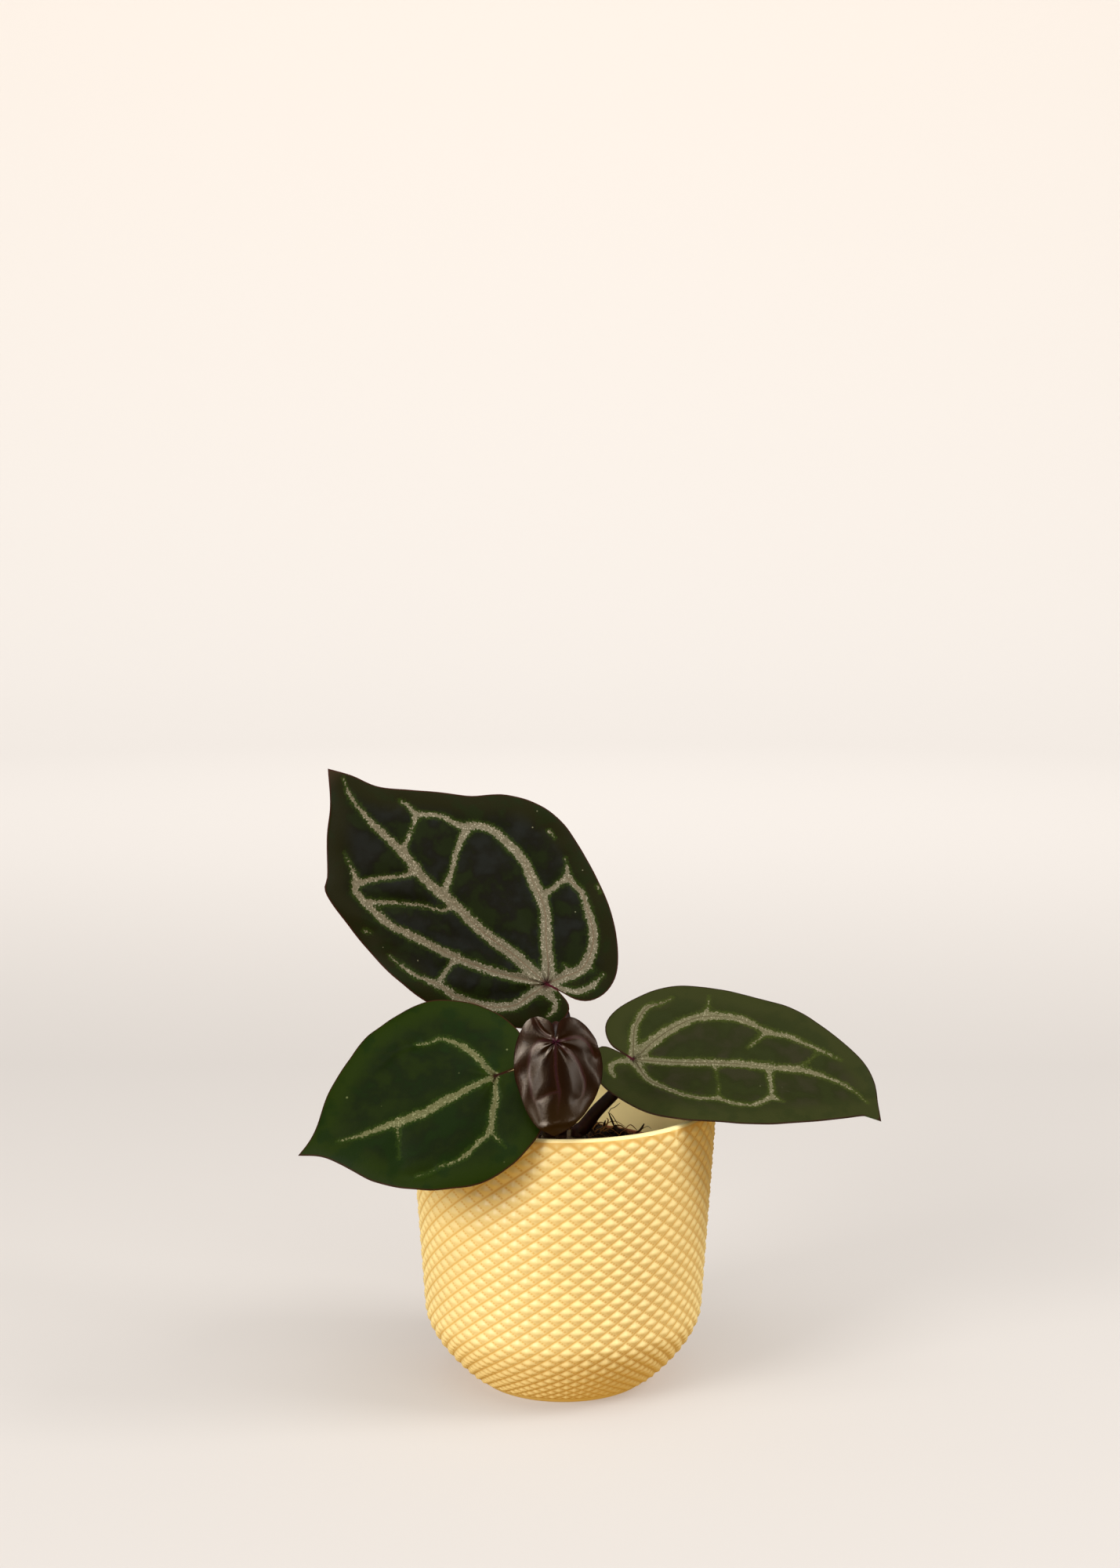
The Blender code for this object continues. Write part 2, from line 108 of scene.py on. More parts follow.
def smooth_curve(points: Route, count: int) -> list[Vector]:
    """Spreads points evenly along a smooth curve through the given ones.

    Args:
        points: The route's own points.
        count: How many points to return.

    Returns:
        The spread points, from the first given point to the last.
    """
    given = [Vector(point) for point in points]
    ends = [2 * given[0] - given[1], *given, 2 * given[-1] - given[-2]]
    fine = []
    for before, start, end, after in zip(ends, ends[1:], ends[2:], ends[3:]):
        for step in range(SPLINE_STEPS):
            t = step / SPLINE_STEPS
            bend = (2 * before - 5 * start + 4 * end - after) * t**2
            twist = (3 * start - before - 3 * end + after) * t**3
            fine.append(0.5 * (2 * start + (end - before) * t + bend + twist))
    fine.append(given[-1])
    travelled = np.concatenate(([0.0], np.cumsum([(b - a).length for a, b in zip(fine, fine[1:])])))
    targets = np.linspace(0.0, travelled[-1], count)
    columns = [np.interp(targets, travelled, column) for column in zip(*fine)]
    return [Vector(place) for place in zip(*columns)]


def turned(profile: list[tuple[float, float]], sides: int, start_angle: float = 0.0) -> BMesh:
    """Spins a (radius, height) profile round the Z axis, and keeps each point's number.

    Args:
        profile: The section's points.
        sides: The number of steps round the axis.
        start_angle: Where the section starts, from -Y towards +X.

    Returns:
        The turned mesh, whose vertices hold their profile point's number in the layer "station".
    """
    bm = bmesh.new()
    layer = bm.verts.layers.int.new("station")
    points = []
    for index, (radius, height) in enumerate(profile):
        point = bm.verts.new((radius * sin(start_angle), -radius * cos(start_angle), height))
        point[layer] = index
        points.append(point)
    spin(bm, points, sides, JOINED)
    bmesh.ops.recalc_face_normals(bm, faces=bm.faces)
    return bm


def spin(bm: BMesh, points: list[BMVert], sides: int, joined: float) -> None:
    """Spins a line of points once round the Z axis.

    Args:
        bm: The mesh that holds the points.
        points: The line's points.
        sides: The number of steps round the axis.
        joined: Points closer than this become one.
    """
    edges = [bm.edges.new(pair) for pair in zip(points, points[1:])]
    bmesh.ops.spin(
        bm, geom=points + edges, cent=(0, 0, 0), axis=(0, 0, 1), angle=2 * pi, steps=sides, use_merge=True
    )
    bmesh.ops.remove_doubles(bm, verts=bm.verts, dist=joined)


def tube(bm: BMesh, stations: list[Vector], radii: list[float], sides: int) -> None:
    """Adds a closed round tube that follows a route.

    Args:
        bm: The mesh that gets the tube.
        stations: The middle of the tube, from its foot to its end.
        radii: The tube's radius at each station.
        sides: How many sides its section has.
    """
    loops = []
    last = len(stations) - 1
    across = (stations[1] - stations[0]).normalized().orthogonal()
    for index, (place, radius) in enumerate(zip(stations, radii)):
        ahead = (stations[min(index + 1, last)] - stations[max(index - 1, 0)]).normalized()
        across = (across - ahead * across.dot(ahead)).normalized()
        turn = Matrix((across, ahead.cross(across), ahead)).transposed().to_4x4()
        ring = bmesh.ops.create_circle(
            bm, cap_ends=index in (0, last), radius=radius, segments=sides,
            matrix=Matrix.Translation(place) @ turn,
        )["verts"]
        loops.append(list({edge for vert in ring for edge in vert.link_edges}))
    for lower, upper in zip(loops, loops[1:]):
        bmesh.ops.bridge_loops(bm, edges=lower + upper)


class Piece:
    """What every finished piece goes through: a mesh at the origin, its finish and its body."""

    @staticmethod
    def finish(
        name: str, bm: BMesh, materials: list[Material], slot: str, nodes: tuple[str, ...] = (),
        sharp_angle: float = radians(50),
    ) -> None:
        """Turns a mesh into a named piece that rides with the pot.

        Args:
            name: The piece's name.
            bm: Its mesh, in world coordinates. It is freed.
            materials: Its finishes, in the order of the faces' material numbers.
            slot: Not used.
            nodes: The solids that it stands for.
            sharp_angle: The angle between faces above which their edge is drawn sharp.
        """
        mesh = bpy.data.meshes.new(name)
        bm.to_mesh(mesh)
        bm.free()
        mesh.shade_smooth()
        mesh.set_sharp_from_angle(angle=sharp_angle)
        for material in materials:
            mesh.materials.append(material)
        piece = bpy.data.objects.new(name, mesh)
        bpy.context.scene.collection.objects.link(piece)
        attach(piece, BODY)
        if nodes:
            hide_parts(*nodes)
        LOG.info("%s: %d faces", name, len(mesh.polygons))


class Finish:
    """A procedural material. Each kind says how its shader is made."""

    name = "finish"

    def shader(self, tree: NodeTree) -> Node:
        """Builds the nodes and returns the one that shades the surface."""
        raise NotImplementedError

    def material(self) -> Material:
        """Makes the material.

        Returns:
            A new material with this finish's nodes.
        """
        made = bpy.data.materials.new(self.name)
        made.use_nodes = True
        made.node_tree.nodes.clear()
        add_node(made.node_tree, "ShaderNodeOutputMaterial", {"Surface": self.shader(made.node_tree)})
        return made


class Blend(Enum):
    """How a second tone comes in."""

    EVEN = "LINEAR"
    SOFT = "SMOOTHSTEP"


@dataclass(frozen=True)
class TwoToneFinish(Finish):
    """Two tones, mixed by a layer of the mesh or by the grain, under a mottle and a fine bump.

    The second tone takes over up to the share called most. The bump's height is a share of the
    grain's size.
    """

    name: str = "two_tone"
    tone: str = "#808080"
    second: str = "#a0a0a0"
    layer: str = ""
    blend: Blend = Blend.SOFT
    blend_from: float = 0.3
    blend_to: float = 0.7
    most: float = 1.0
    mottle_mm: float = 4.0
    mottle_detail: float = 4.0
    mottle: float = 0.0
    grain_mm: float = 4.0
    grain_detail: float = 4.0
    roughness: float = 0.6
    rough_swing: float = 0.1
    bump: float = 0.3
    bump_share: float = 0.2
    ior: float = 1.45
    specular: float = 0.5

    def shader(self, tree: NodeTree) -> Node:
        """Builds the tones, the mottle and the grain.

        Args:
            tree: The material's node tree.

        Returns:
            The surface shader.
        """
        place = add_node(tree, "ShaderNodeTexCoord").outputs["Object"]
        grain = add_node(
            tree, "ShaderNodeTexNoise",
            {"Vector": place, "Scale": 1 / (self.grain_mm * MM), "Detail": self.grain_detail},
        )
        colour = linear(self.tone)
        if self.most:
            source = grain
            if self.layer:
                source = add_node(tree, "ShaderNodeAttribute", attribute_name=self.layer).outputs["Fac"]
            share = add_node(
                tree, "ShaderNodeMapRange",
                {
                    "Value": source, "To Max": self.most,
                    "From Min": self.blend_from, "From Max": self.blend_to,
                },
                interpolation_type=self.blend.value,
            )
            second = linear(self.second)
            colour = add_node(
                tree, "ShaderNodeMix", {0: share, 6: colour, 7: second}, data_type="RGBA"
            ).outputs[2]
        if self.mottle:
            mottle = add_node(
                tree, "ShaderNodeTexNoise",
                {"Vector": place, "Scale": 1 / (self.mottle_mm * MM), "Detail": self.mottle_detail},
            )
            low, high = 1 - self.mottle, 1 + self.mottle
            value = add_node(tree, "ShaderNodeMapRange", {"Value": mottle, "To Min": low, "To Max": high})
            colour = add_node(tree, "ShaderNodeHueSaturation", {"Color": colour, "Value": value})
        low, high = self.roughness - self.rough_swing, self.roughness + self.rough_swing
        rough = add_node(tree, "ShaderNodeMapRange", {"Value": grain, "To Min": low, "To Max": high})
        height = self.bump_share * self.grain_mm * MM
        bump = add_node(
            tree, "ShaderNodeBump", {"Height": grain, "Strength": self.bump, "Distance": height}
        )
        return add_node(
            tree, "ShaderNodeBsdfPrincipled",
            {
                "Base Color": colour, "Roughness": rough, "Normal": bump, "IOR": self.ior,
                "Specular IOR Level": self.specular,
            },
        )


@dataclass(frozen=True)
class MouldedPolypropylene(TwoToneFinish):
    """Injection-moulded polypropylene in an even satin colour, with painted shade deep in its furrows."""

    name: str = "moulded_polypropylene"
    tone: str = "#fdeaa8"
    # The second tone is painted shade: a deeper, warmer yellow laid where the relief sinks into its
    # furrows.
    second: str = "#e0ac36"
    layer: str = "relief"
    blend_from: float = 0.32
    blend_to: float = 0.0
    most: float = 0.65
    mottle_mm: float = 9.0
    mottle_detail: float = 2.0
    mottle: float = 0.06
    grain_mm: float = 0.3
    grain_detail: float = 3.0
    roughness: float = 0.42
    rough_swing: float = 0.06
    bump: float = 0.15
    bump_share: float = 0.04 / 0.3
    ior: float = 1.49
    specular: float = 0.55


@dataclass(frozen=True)
class LeafUnderside(TwoToneFinish):
    """Lower leaf skin: paler and matt, with the veins standing a little lighter."""

    name: str = "leaf_underside"
    tone: str = "#6d7f56"
    second: str = "#98a07c"
    layer: str = "vein_edge"
    blend_from: float = 0.3
    blend_to: float = -0.6
    most: float = 0.8
    mottle: float = 0.2
    bump_share: float = 0.025
    ior: float = 1.42
    specular: float = 0.3


@dataclass(frozen=True)
class PlantSkin(TwoToneFinish):
    """Skin of stalks, crown, margin and mix: two tones that blend in grains of one size."""

    name: str = "plant_skin"
    tone: str = "#1a0604"
    second: str = "#34120a"
    blend: Blend = Blend.EVEN
    grain_mm: float = 1.2
    grain_detail: float = 5.0
    roughness: float = 0.4


@dataclass(frozen=True)
class LeafLamina(Finish):
    """Upper leaf skin: dark panels, greener beside the veins, and silver veins with painted cell glints."""

    name: str = "leaf_skin"
    flank: str = "#101304"
    panel: str = "#111007"
    patch: str = "#181a16"
    outer: str = "#1b1b06"
    moss: str = "#171f07"
    border: str = "#26340a"
    vein: str = "#716c5a"
    shade: str = "#55513e"
    # The glint tone is a painted glint: bright cells that stand in for the veins' sparkle.
    glint: str = "#a09b89"
    rib: str = "#675947"
    heart: str = "#341017"
    seam: str = "#3e0f1a"
    margin: str = "#3a1a14"
    tip: str = "#33281a"
    speck: str = "#8a8a70"
    roughness: float = 0.55
    rough_swing: float = 0.08
    specular: float = 0.06
    gloss_tint: str = "#ffffff"
    coat: float = 0.0
    coat_roughness: float = 0.12
    sheen: float = 0.0
    sheen_roughness: float = 0.45
    ior: float = 1.42
    flank_mm: float = 4.0
    outer_mm: float = 8.0
    border_mm: float = 1.1
    feather_mm: float = 0.42
    rib_mm: float = 0.24
    rib_reach_mm: float = 45.0
    heart_mm: float = 2.0
    seam_mm: float = 0.4
    tip_from: float = 0.93
    tip_to: float = 1.0
    margin_mm: float = 0.4
    grain_mm: float = 0.26
    grain_bump: float = 0.3
    grain_height_mm: float = 0.05
    speck_mm: float = 7.0
    speck_share: float = 0.035
    broad_mm: float = 6.0
    drift_mm: float = 2.2
    drift_share: float = 2.2
    fray_mm: float = 0.5
    fray_share: float = 4.6
    fray_bump: float = 0.35
    fray_height_mm: float = 0.10

    def shader(self, tree: NodeTree) -> Node:
        """Builds the leaf skin from the distances that the blade's mesh carries, in mm.

        Args:
            tree: The material's node tree.

        Returns:
            The surface shader.
        """
        place = add_node(tree, "ShaderNodeTexCoord").outputs["Object"]
        at = {
            name: add_node(tree, "ShaderNodeAttribute", attribute_name=name).outputs["Fac"]
            for name in ("vein_edge", "rib", "seam", "heart", "rim", "tip")
        }
        for name in ("rib", "seam"):
            at[name] = add_node(tree, "ShaderNodeMath", {0: at[name]}, operation="ABSOLUTE")
        broad, drift, fray = (
            add_node(
                tree, "ShaderNodeTexNoise", {"Vector": place, "Scale": 1 / (size * MM), "Detail": detail}
            )
            for size, detail in ((self.broad_mm, 3.0), (self.drift_mm, 2.0), (self.fray_mm, 4.0))
        )
        cells, dust = (
            add_node(tree, "ShaderNodeTexVoronoi", {"Vector": place, "Scale": 1 / (size * MM)})
            for size in (self.grain_mm, self.speck_mm)
        )
        grain = add_node(tree, "ShaderNodeSeparateColor", {"Color": cells.outputs["Color"]})
        frayed = at["vein_edge"]
        for source, part in ((drift, self.drift_share), (fray, self.fray_share)):
            reach = part * self.feather_mm
            wander = add_node(
                tree, "ShaderNodeMath", {0: source, 1: reach, 2: -0.5 * reach}, operation="MULTIPLY_ADD"
            )
            frayed = add_node(tree, "ShaderNodeMath", {0: frayed, 1: wander}, operation="ADD")
        # Each zone: what it is measured by, where it is clear, where it is full, and how much it covers.
        zones = {
            "panel": (at["vein_edge"], 0.6, self.flank_mm, 1.0),
            "patch": (broad, 0.45, 0.68, 1.0),
            "outer": (at["rim"], self.outer_mm, 0.3 * self.outer_mm, 1.0),
            "moss": (broad, 0.52, 0.36, 0.8),
            "border": (frayed, self.border_mm, 0.0, 0.9),
            "silver": (frayed, 0.14, -0.12, 1.0),
            "shade": (grain, 0.0, 1.0, 0.85),
            # Some vein cells take the glint tone, a painted sparkle.
            "glint": (grain, 0.82, 0.96, 0.9),
            "rib": (at["rib"], self.rib_mm, 0.4 * self.rib_mm, 1.0),
            "rib_reach": (at["heart"], self.rib_reach_mm, 0.3 * self.rib_reach_mm, 0.9),
            "heart": (at["heart"], self.heart_mm, 0.3, 0.95),
            "seam": (at["seam"], self.seam_mm, 0.4 * self.seam_mm, 1.0),
            "tip": (at["tip"], self.tip_from, self.tip_to, 0.9),
            "margin": (at["rim"], self.margin_mm, 0.3 * self.margin_mm, 0.9),
            "speck": (dust, self.speck_share, 0.4 * self.speck_share, 0.6),
        }
        share = {
            name: add_node(
                tree, "ShaderNodeMapRange",
                {"Value": source, "From Min": clear, "From Max": full, "To Max": most},
                interpolation_type=Blend.SOFT.value,
            )
            for name, (source, clear, full, most) in zones.items()
        }
        share["rib"] = add_node(
            tree, "ShaderNodeMath", {0: share["rib"], 1: share["rib_reach"]}, operation="MULTIPLY"
        )
        silver = linear(self.vein)
        for name in ("shade", "glint", "rib"):
            tint = linear(getattr(self, name))
            silver = add_node(
                tree, "ShaderNodeMix", {0: share[name], 6: silver, 7: tint}, data_type="RGBA"
            ).outputs[2]
        colour = linear(self.flank)
        for name in (
            "panel", "patch", "outer", "moss", "border", "silver",
            "heart", "seam", "tip", "margin", "speck",
        ):
            tint = silver if name == "silver" else linear(getattr(self, name))
            colour = add_node(
                tree, "ShaderNodeMix", {0: share[name], 6: colour, 7: tint}, data_type="RGBA"
            ).outputs[2]
        low, high = self.roughness - self.rough_swing, self.roughness + self.rough_swing
        rough = add_node(tree, "ShaderNodeMapRange", {"Value": broad, "To Min": low, "To Max": high})
        fine = add_node(
            tree, "ShaderNodeBump",
            {"Height": cells, "Strength": self.grain_bump, "Distance": self.grain_height_mm * MM},
        )
        bump = add_node(
            tree, "ShaderNodeBump",
            {
                "Height": fray, "Strength": self.fray_bump, "Distance": self.fray_height_mm * MM,
                "Normal": fine,
            },
        )
        return add_node(
            tree, "ShaderNodeBsdfPrincipled",
            {
                "Base Color": colour, "Roughness": rough, "Normal": bump, "IOR": self.ior,
                "Specular IOR Level": self.specular, "Specular Tint": linear(self.gloss_tint),
                "Coat Weight": self.coat, "Coat Roughness": self.coat_roughness,
                "Sheen Weight": self.sheen, "Sheen Roughness": self.sheen_roughness,
            },
        )


class CupZone(Enum):
    """The stretches of the cover pot's section."""

    FOOT = "foot"
    RELIEF = "relief"
    SMOOTH = "smooth"


@dataclass(frozen=True)
class CoverPot(Piece):
    """The decorative cup, whose outside is a net of furrows round small pillow-like pyramids."""

    height: float = 70.4 * MM
    rim_radius: float = 38.2 * MM
    wall_taper: float = 0.0674
    belly_height: float = 18.0 * MM
    belly_draw_in: float = 11.8 * MM
    belly_power: float = 1.7
    base_radius: float = 21.0 * MM
    foot_round: float = 0.3 * MM
    foot_top: float = 0.5 * MM
    band_inset: float = 0.5 * MM
    wall: float = 1.52 * MM
    floor: float = 2.4 * MM
    floor_round: float = 1.5 * MM
    floor_clearance: float = 0.1 * MM
    inner_levels_mm: tuple[float, ...] = (
        68.5, 64.0, 58.0, 52.0, 45.0, 38.0, 30.0, 22.0, 17.0, 13.0, 10.0, 8.0, 6.0, 4.8, 4.0, 3.3, 2.9,
    )
    lip_inset: float = 0.8 * MM
    lip_thickness: float = 1.6 * MM
    lip_round: float = 0.35 * MM
    columns: int = 45
    half_row_per_radius: float = 0.05
    relief_depth: float = 0.60 * MM
    relief_top: float = 69.8 * MM
    relief_bottom: float = 0.9 * MM
    fade_in_rows: float = 1.2
    fade_out_rows: float = 0.5
    foot_depth_share: float = 0.7
    foot_depth_height: float = 13.0 * MM
    pyramid_share: float = 0.85
    smooth_standing: float = 0.8
    relief_turn: float = radians(1.6)
    parting_angle: float = radians(45.4)
    parting_fin: float = 0.09
    samples: int = 4

    def tip_radius(self, height: float) -> float:
        """Radius over the pyramids' tips at a height above the base."""
        drawn = self.belly_draw_in * max(0.0, 1 - height / self.belly_height) ** self.belly_power
        return self.rim_radius - self.wall_taper * (self.height - height) - drawn

    def slope(self, height: float) -> float:
        """How fast the radius grows with the height."""
        step = 0.05 * MM
        return (self.tip_radius(height + step) - self.tip_radius(height - step)) / (2 * step)

    def wall_point(self, height: float, inset: float) -> tuple[float, float]:
        """The (radius, height) point that lies inset below the tips' surface, square to it.

        Args:
            height: Where the point lies, above the base.
            inset: How far it lies below the tips.

        Returns:
            Its radius and height.
        """
        slope = self.slope(height)
        scale = inset / hypot(1, slope)
        return self.tip_radius(height) - scale, height + slope * scale

    def furrow_depth(self, height: float) -> float:
        """Depth of the furrows, which get shallower where the cup curves in to its foot."""
        share = min(1.0, height / self.foot_depth_height)
        return self.relief_depth * (self.foot_depth_share + (1 - self.foot_depth_share) * share)

    def half_rows(self) -> list[float]:
        """Heights of the half rows from the rim down, in steps that shrink with the radius.

        Returns:
            One height for each half row.
        """
        heights = [self.relief_top]
        while heights[-1] > self.relief_bottom:
            reach = self.half_row_per_radius * self.tip_radius(heights[-1])
            heights.append(heights[-1] - reach / hypot(1, self.slope(heights[-1])))
        return heights[:-1]

    def section(self) -> list[tuple[CupZone, float, float, float]]:
        """The cup's section, from the base's centre up the outside, over the lip and down the inside.

        Returns:
            For each point its zone, its radius, its height and its half row's number.
        """
        rows = self.half_rows()
        foot = (
            (0.0, 0.0), (self.base_radius - self.foot_round, 0.0),
            (self.base_radius, 0.5 * self.foot_round),
            self.wall_point(self.foot_top, self.band_inset),
        )
        points = [(CupZone.FOOT, radius, height, 0.0) for radius, height in foot]
        for row in np.arange(len(rows), 1 - 1e-9, -1 / self.samples):
            height = float(np.interp(row, range(1, len(rows) + 1), rows))
            points.append((CupZone.RELIEF, self.tip_radius(height), height, float(row)))
        lip = self.rim_radius - self.lip_inset
        for side, start in ((1, lip - self.lip_round), (-1, lip - self.lip_thickness + self.lip_round)):
            for turn in (0, 30, 60, 90)[::side]:
                radius = start + side * self.lip_round * cos(radians(turn))
                height = self.height - self.lip_round + self.lip_round * sin(radians(turn))
                points.append((CupZone.SMOOTH, radius, height, 0.0))
        for level in self.inner_levels_mm:
            radius, height = self.wall_point(level * MM, self.relief_depth + self.wall)
            points.append((CupZone.SMOOTH, radius, max(height, self.floor + self.floor_clearance), 0.0))
        for radius in (points[-1][1] - self.floor_round, 0.0):
            points.append((CupZone.SMOOTH, radius, self.floor, 0.0))
        return points

    def relief(self, column: float, row: float, rows: int) -> float:
        """How far a point stands out of the furrows.

        Args:
            column: Half columns round the cup.
            row: Half rows down from the rim.
            rows: How many half rows there are.

        Returns:
            0 in a furrow to 1 on a pyramid's tip.
        """
        first = abs((column + row) % 2 - 1)
        second = abs((column - row) % 2 - 1)
        pyramid = min(first, second)
        pillow = sin(first * pi / 2) * sin(second * pi / 2)
        fade = min(1.0, (row - 1) / self.fade_in_rows, (rows - row) / self.fade_out_rows)
        return (self.pyramid_share * pyramid + (1 - self.pyramid_share) * pillow) * max(0.0, fade)

    def build(self) -> None:
        """Turns the cup, presses its relief and dresses it."""
        section = self.section()
        rows = len(self.half_rows())
        sides = 2 * self.columns * self.samples
        bm = turned([(radius, height) for _, radius, height, _ in section], sides, self.relief_turn)
        station = bm.verts.layers.int["station"]
        standing = bm.verts.layers.float.new("relief")
        for point in bm.verts:
            zone, _, height, row = section[point[station]]
            point[standing] = self.smooth_standing
            if zone is not CupZone.RELIEF:
                continue
            angle = atan2(point.co.x, -point.co.y)
            step = round((angle - self.relief_turn) * sides / (2 * pi))
            raised = self.relief(step / self.samples, row, rows)
            from_parting = (angle - self.parting_angle + pi / 2) % pi - pi / 2
            if abs(from_parting) * sides / (2 * pi) < 0.5:
                raised += self.parting_fin
            radius, level = self.wall_point(height, self.furrow_depth(height) * (1 - raised))
            point.co = (radius * sin(angle), -radius * cos(angle), level)
            point[standing] = raised
        self.split_along_furrows(bm)
        plastic = MouldedPolypropylene().material()
        self.finish("cover_pot_shell", bm, [plastic], "cover_pot", ("cover_pot",), sharp_angle=radians(38))

    @staticmethod
    def split_along_furrows(bm: BMesh) -> None:
        """Splits each four-sided face of the relief along its more level diagonal, as the furrows run.

        Args:
            bm: The turned cup, whose vertices hold their relief.
        """
        standing = bm.verts.layers.float["relief"]
        for surface in list(bm.faces):
            if len(surface.verts) != 4:
                continue
            first, second, third, fourth = surface.verts
            one_way = abs(first[standing] - third[standing])
            other_way = abs(second[standing] - fourth[standing])
            if one_way < other_way:
                bmesh.utils.face_split(surface, first, third)
            elif other_way < one_way:
                bmesh.utils.face_split(surface, second, fourth)


@dataclass(frozen=True)
class NurseryPot(Piece):
    """The thin plastic pot that the plant grows in. Its solid already has its true shape."""

    node: str = "grow_pot"
    colour: str = "#7a3a20"

    def build(self) -> None:
        """Gives the solid its moulded terracotta-brown plastic, in one tone."""
        plastic = MouldedPolypropylene(
            name="moulded_brown_polypropylene", tone=self.colour, most=0.0, roughness=0.5, specular=0.3
        )
        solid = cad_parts[self.node]
        solid.data.materials.clear()
        solid.data.materials.append(plastic.material())
        LOG.info("%s: dressed", self.node)


@dataclass(frozen=True)
class PottingMix(Piece):
    """Peaty potting mix: a lumpy heap with crumbs, coir fibres and a few thin twigs on it."""

    edge_height: float = 55.0 * MM
    heap_height: float = 59.0 * MM
    swell: float = 1.8 * MM
    lumps_mm: tuple[tuple[float, float], ...] = ((4.5, 0.7), (1.8, 0.45), (0.8, 0.2))
    foot_share: float = 0.74
    hole_radius: float = 4.6 * MM
    hole_bottom: float = 45.0 * MM
    rings: int = 56
    sides: int = 200
    crumbs: int = 420
    crumb_clearance: float = 1.2 * MM
    crumb_mm: Limits = (0.35, 1.0)
    crumb_stretch: tuple[Limits, ...] = ((0.7, 1.5), (0.6, 1.1), (0.5, 0.9))
    crumb_dent: float = 0.25
    crumb_rise: float = 0.25
    big_crumbs: float = 0.12
    big_crumb_size: float = 1.8
    fibres: int = 130
    fibre_clearance: float = 1.5 * MM
    fibre_stations: int = 7
    fibre_sides: int = 4
    fibre_curl: float = 0.35
    fibre_mm: Limits = (0.07, 0.15)
    fibre_step_mm: Limits = (0.6, 1.3)
    fibre_arch_mm: Limits = (0.3, 1.6)
    fibre_lift: float = 0.05 * MM
    strand_stations: int = 14
    strand_sides: int = 6
    strand_end: float = 0.35
    hole_clearance: float = 0.8 * MM
    edge_clearance: float = 0.5 * MM
    crowding: float = 0.6
    seed: int = 11
    twigs: tuple[tuple[Route, float], ...] = (
        (((13.4, 9.4, 59.4), (12.3, 9.0, 62.1), (11.4, 9.0, 64.3)), 0.26),
        (((11.4, 9.0, 64.3), (12.0, 9.1, 65.3), (12.9, 9.0, 65.7), (14.3, 8.8, 66.9)), 0.12),
        (((11.2, 9.0, 64.5), (12.4, 9.2, 63.4), (14.1, 9.6, 60.4)), 0.11),
        (((18.4, 15.0, 57.4), (19.6, 15.4, 58.0), (20.6, 15.6, 59.6)), 0.30),
        (((19.6, 15.4, 58.0), (21.4, 15.6, 58.9), (22.4, 15.2, 58.3)), 0.07),
        (((9.8, 10.0, 59.2), (10.3, 9.6, 61.0), (10.6, 9.4, 62.2)), 0.34),
    )
    loops: tuple[tuple[Route, float], ...] = (
        (((6.8, 7.4, 59.2), (7.4, 8, 60.4), (8.7, 9, 61.6), (10.2, 10.4, 61.2), (11, 11.6, 59.4)), 0.18),
        (((8.2, 6.6, 58.6), (9.4, 7.4, 59.9), (10.6, 8.2, 60.9), (11.3, 9, 62.2), (11, 10.8, 62.4)), 0.22),
        (((8, 6, 58.8), (10.4, 7.4, 60), (12.4, 8.6, 60.6), (14.2, 10.6, 60.6), (15.6, 12, 59.4)), 0.24),
        (((9.0, 8.4, 59.6), (10.8, 9.8, 61.2), (13.2, 11.4, 61.4), (15.8, 12.4, 59.6)), 0.12),
        (((5.2, 8.8, 59.6), (6.0, 10.2, 61.2), (7.6, 11.4, 61.9), (9.6, 12.2, 60.0)), 0.12),
        (((15.4, 9.8, 59.6), (17.0, 12.4, 60.2), (18.8, 14.4, 58.2)), 0.14),
    )

    def level(self, x: float, y: float, edge_radius: float) -> float:
        """Height of the lumpy heap at a place.

        Args:
            x: Place across the pot.
            y: Place from front to back.
            edge_radius: The heap's radius.

        Returns:
            The height above the cover pot's base.
        """
        reach = min(1.0, max(0.0, hypot(x, y) - self.hole_radius) / (edge_radius - self.hole_radius))
        sunk = (self.edge_height - self.heap_height) * reach**1.5
        heap = self.heap_height + sunk + self.swell * sin(pi * reach)
        for size, height in self.lumps_mm:
            heap += height * MM * noise.noise(Vector((x, y, size * MM)) / (size * MM))
        return heap

    def build(self) -> None:
        """Makes the heap and what lies on it."""
        low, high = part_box("soil")
        peat, bark, coir = (
            PlantSkin(
                name=name, tone=dark, second=light, grain_mm=grain, roughness=rough,
                specular=shine, bump=bump,
            ).material()
            for name, dark, light, grain, rough, shine, bump in (
                ("peat", "#0e0806", "#2a1a0d", 0.9, 0.85, 0.2, 0.8),
                ("bark_crumbs", "#130b07", "#3c2613", 0.7, 0.85, 0.2, 0.6),
                ("coir_fibre", "#5a3614", "#9a6826", 1.5, 0.7, 0.3, 0.2),
            )
        )
        self.heap(low, high.x, peat)
        draw = Random(self.seed)
        self.scatter_crumbs(draw, high.x, bark)
        self.scatter_fibres(draw, high.x, coir)
        self.strands("peat_twigs", self.twigs, bark)
        self.strands("coir_loops", self.loops, coir)

    def heap(self, low: Vector, edge_radius: float, material: Material) -> None:
        """Makes the body of the mix, closed down to the nursery pot's floor.

        Args:
            low: The solid's lowest corner.
            edge_radius: The heap's radius.
            material: Its finish.
        """
        reaches = np.linspace(self.hole_radius, edge_radius, self.rings + 1)
        top = [(radius, self.edge_height) for radius in reaches]
        hole = [(0.0, self.hole_bottom), (self.hole_radius, self.hole_bottom)]
        bm = turned([*hole, *top, (self.foot_share * edge_radius, low.z), (0.0, low.z)], self.sides)
        station = bm.verts.layers.int["station"]
        for point in bm.verts:
            if len(hole) <= point[station] < len(hole) + len(top):
                point.co.z = self.level(point.co.x, point.co.y, edge_radius)
        self.finish("potting_mix", bm, [material], "soil", ("soil",), sharp_angle=radians(80))

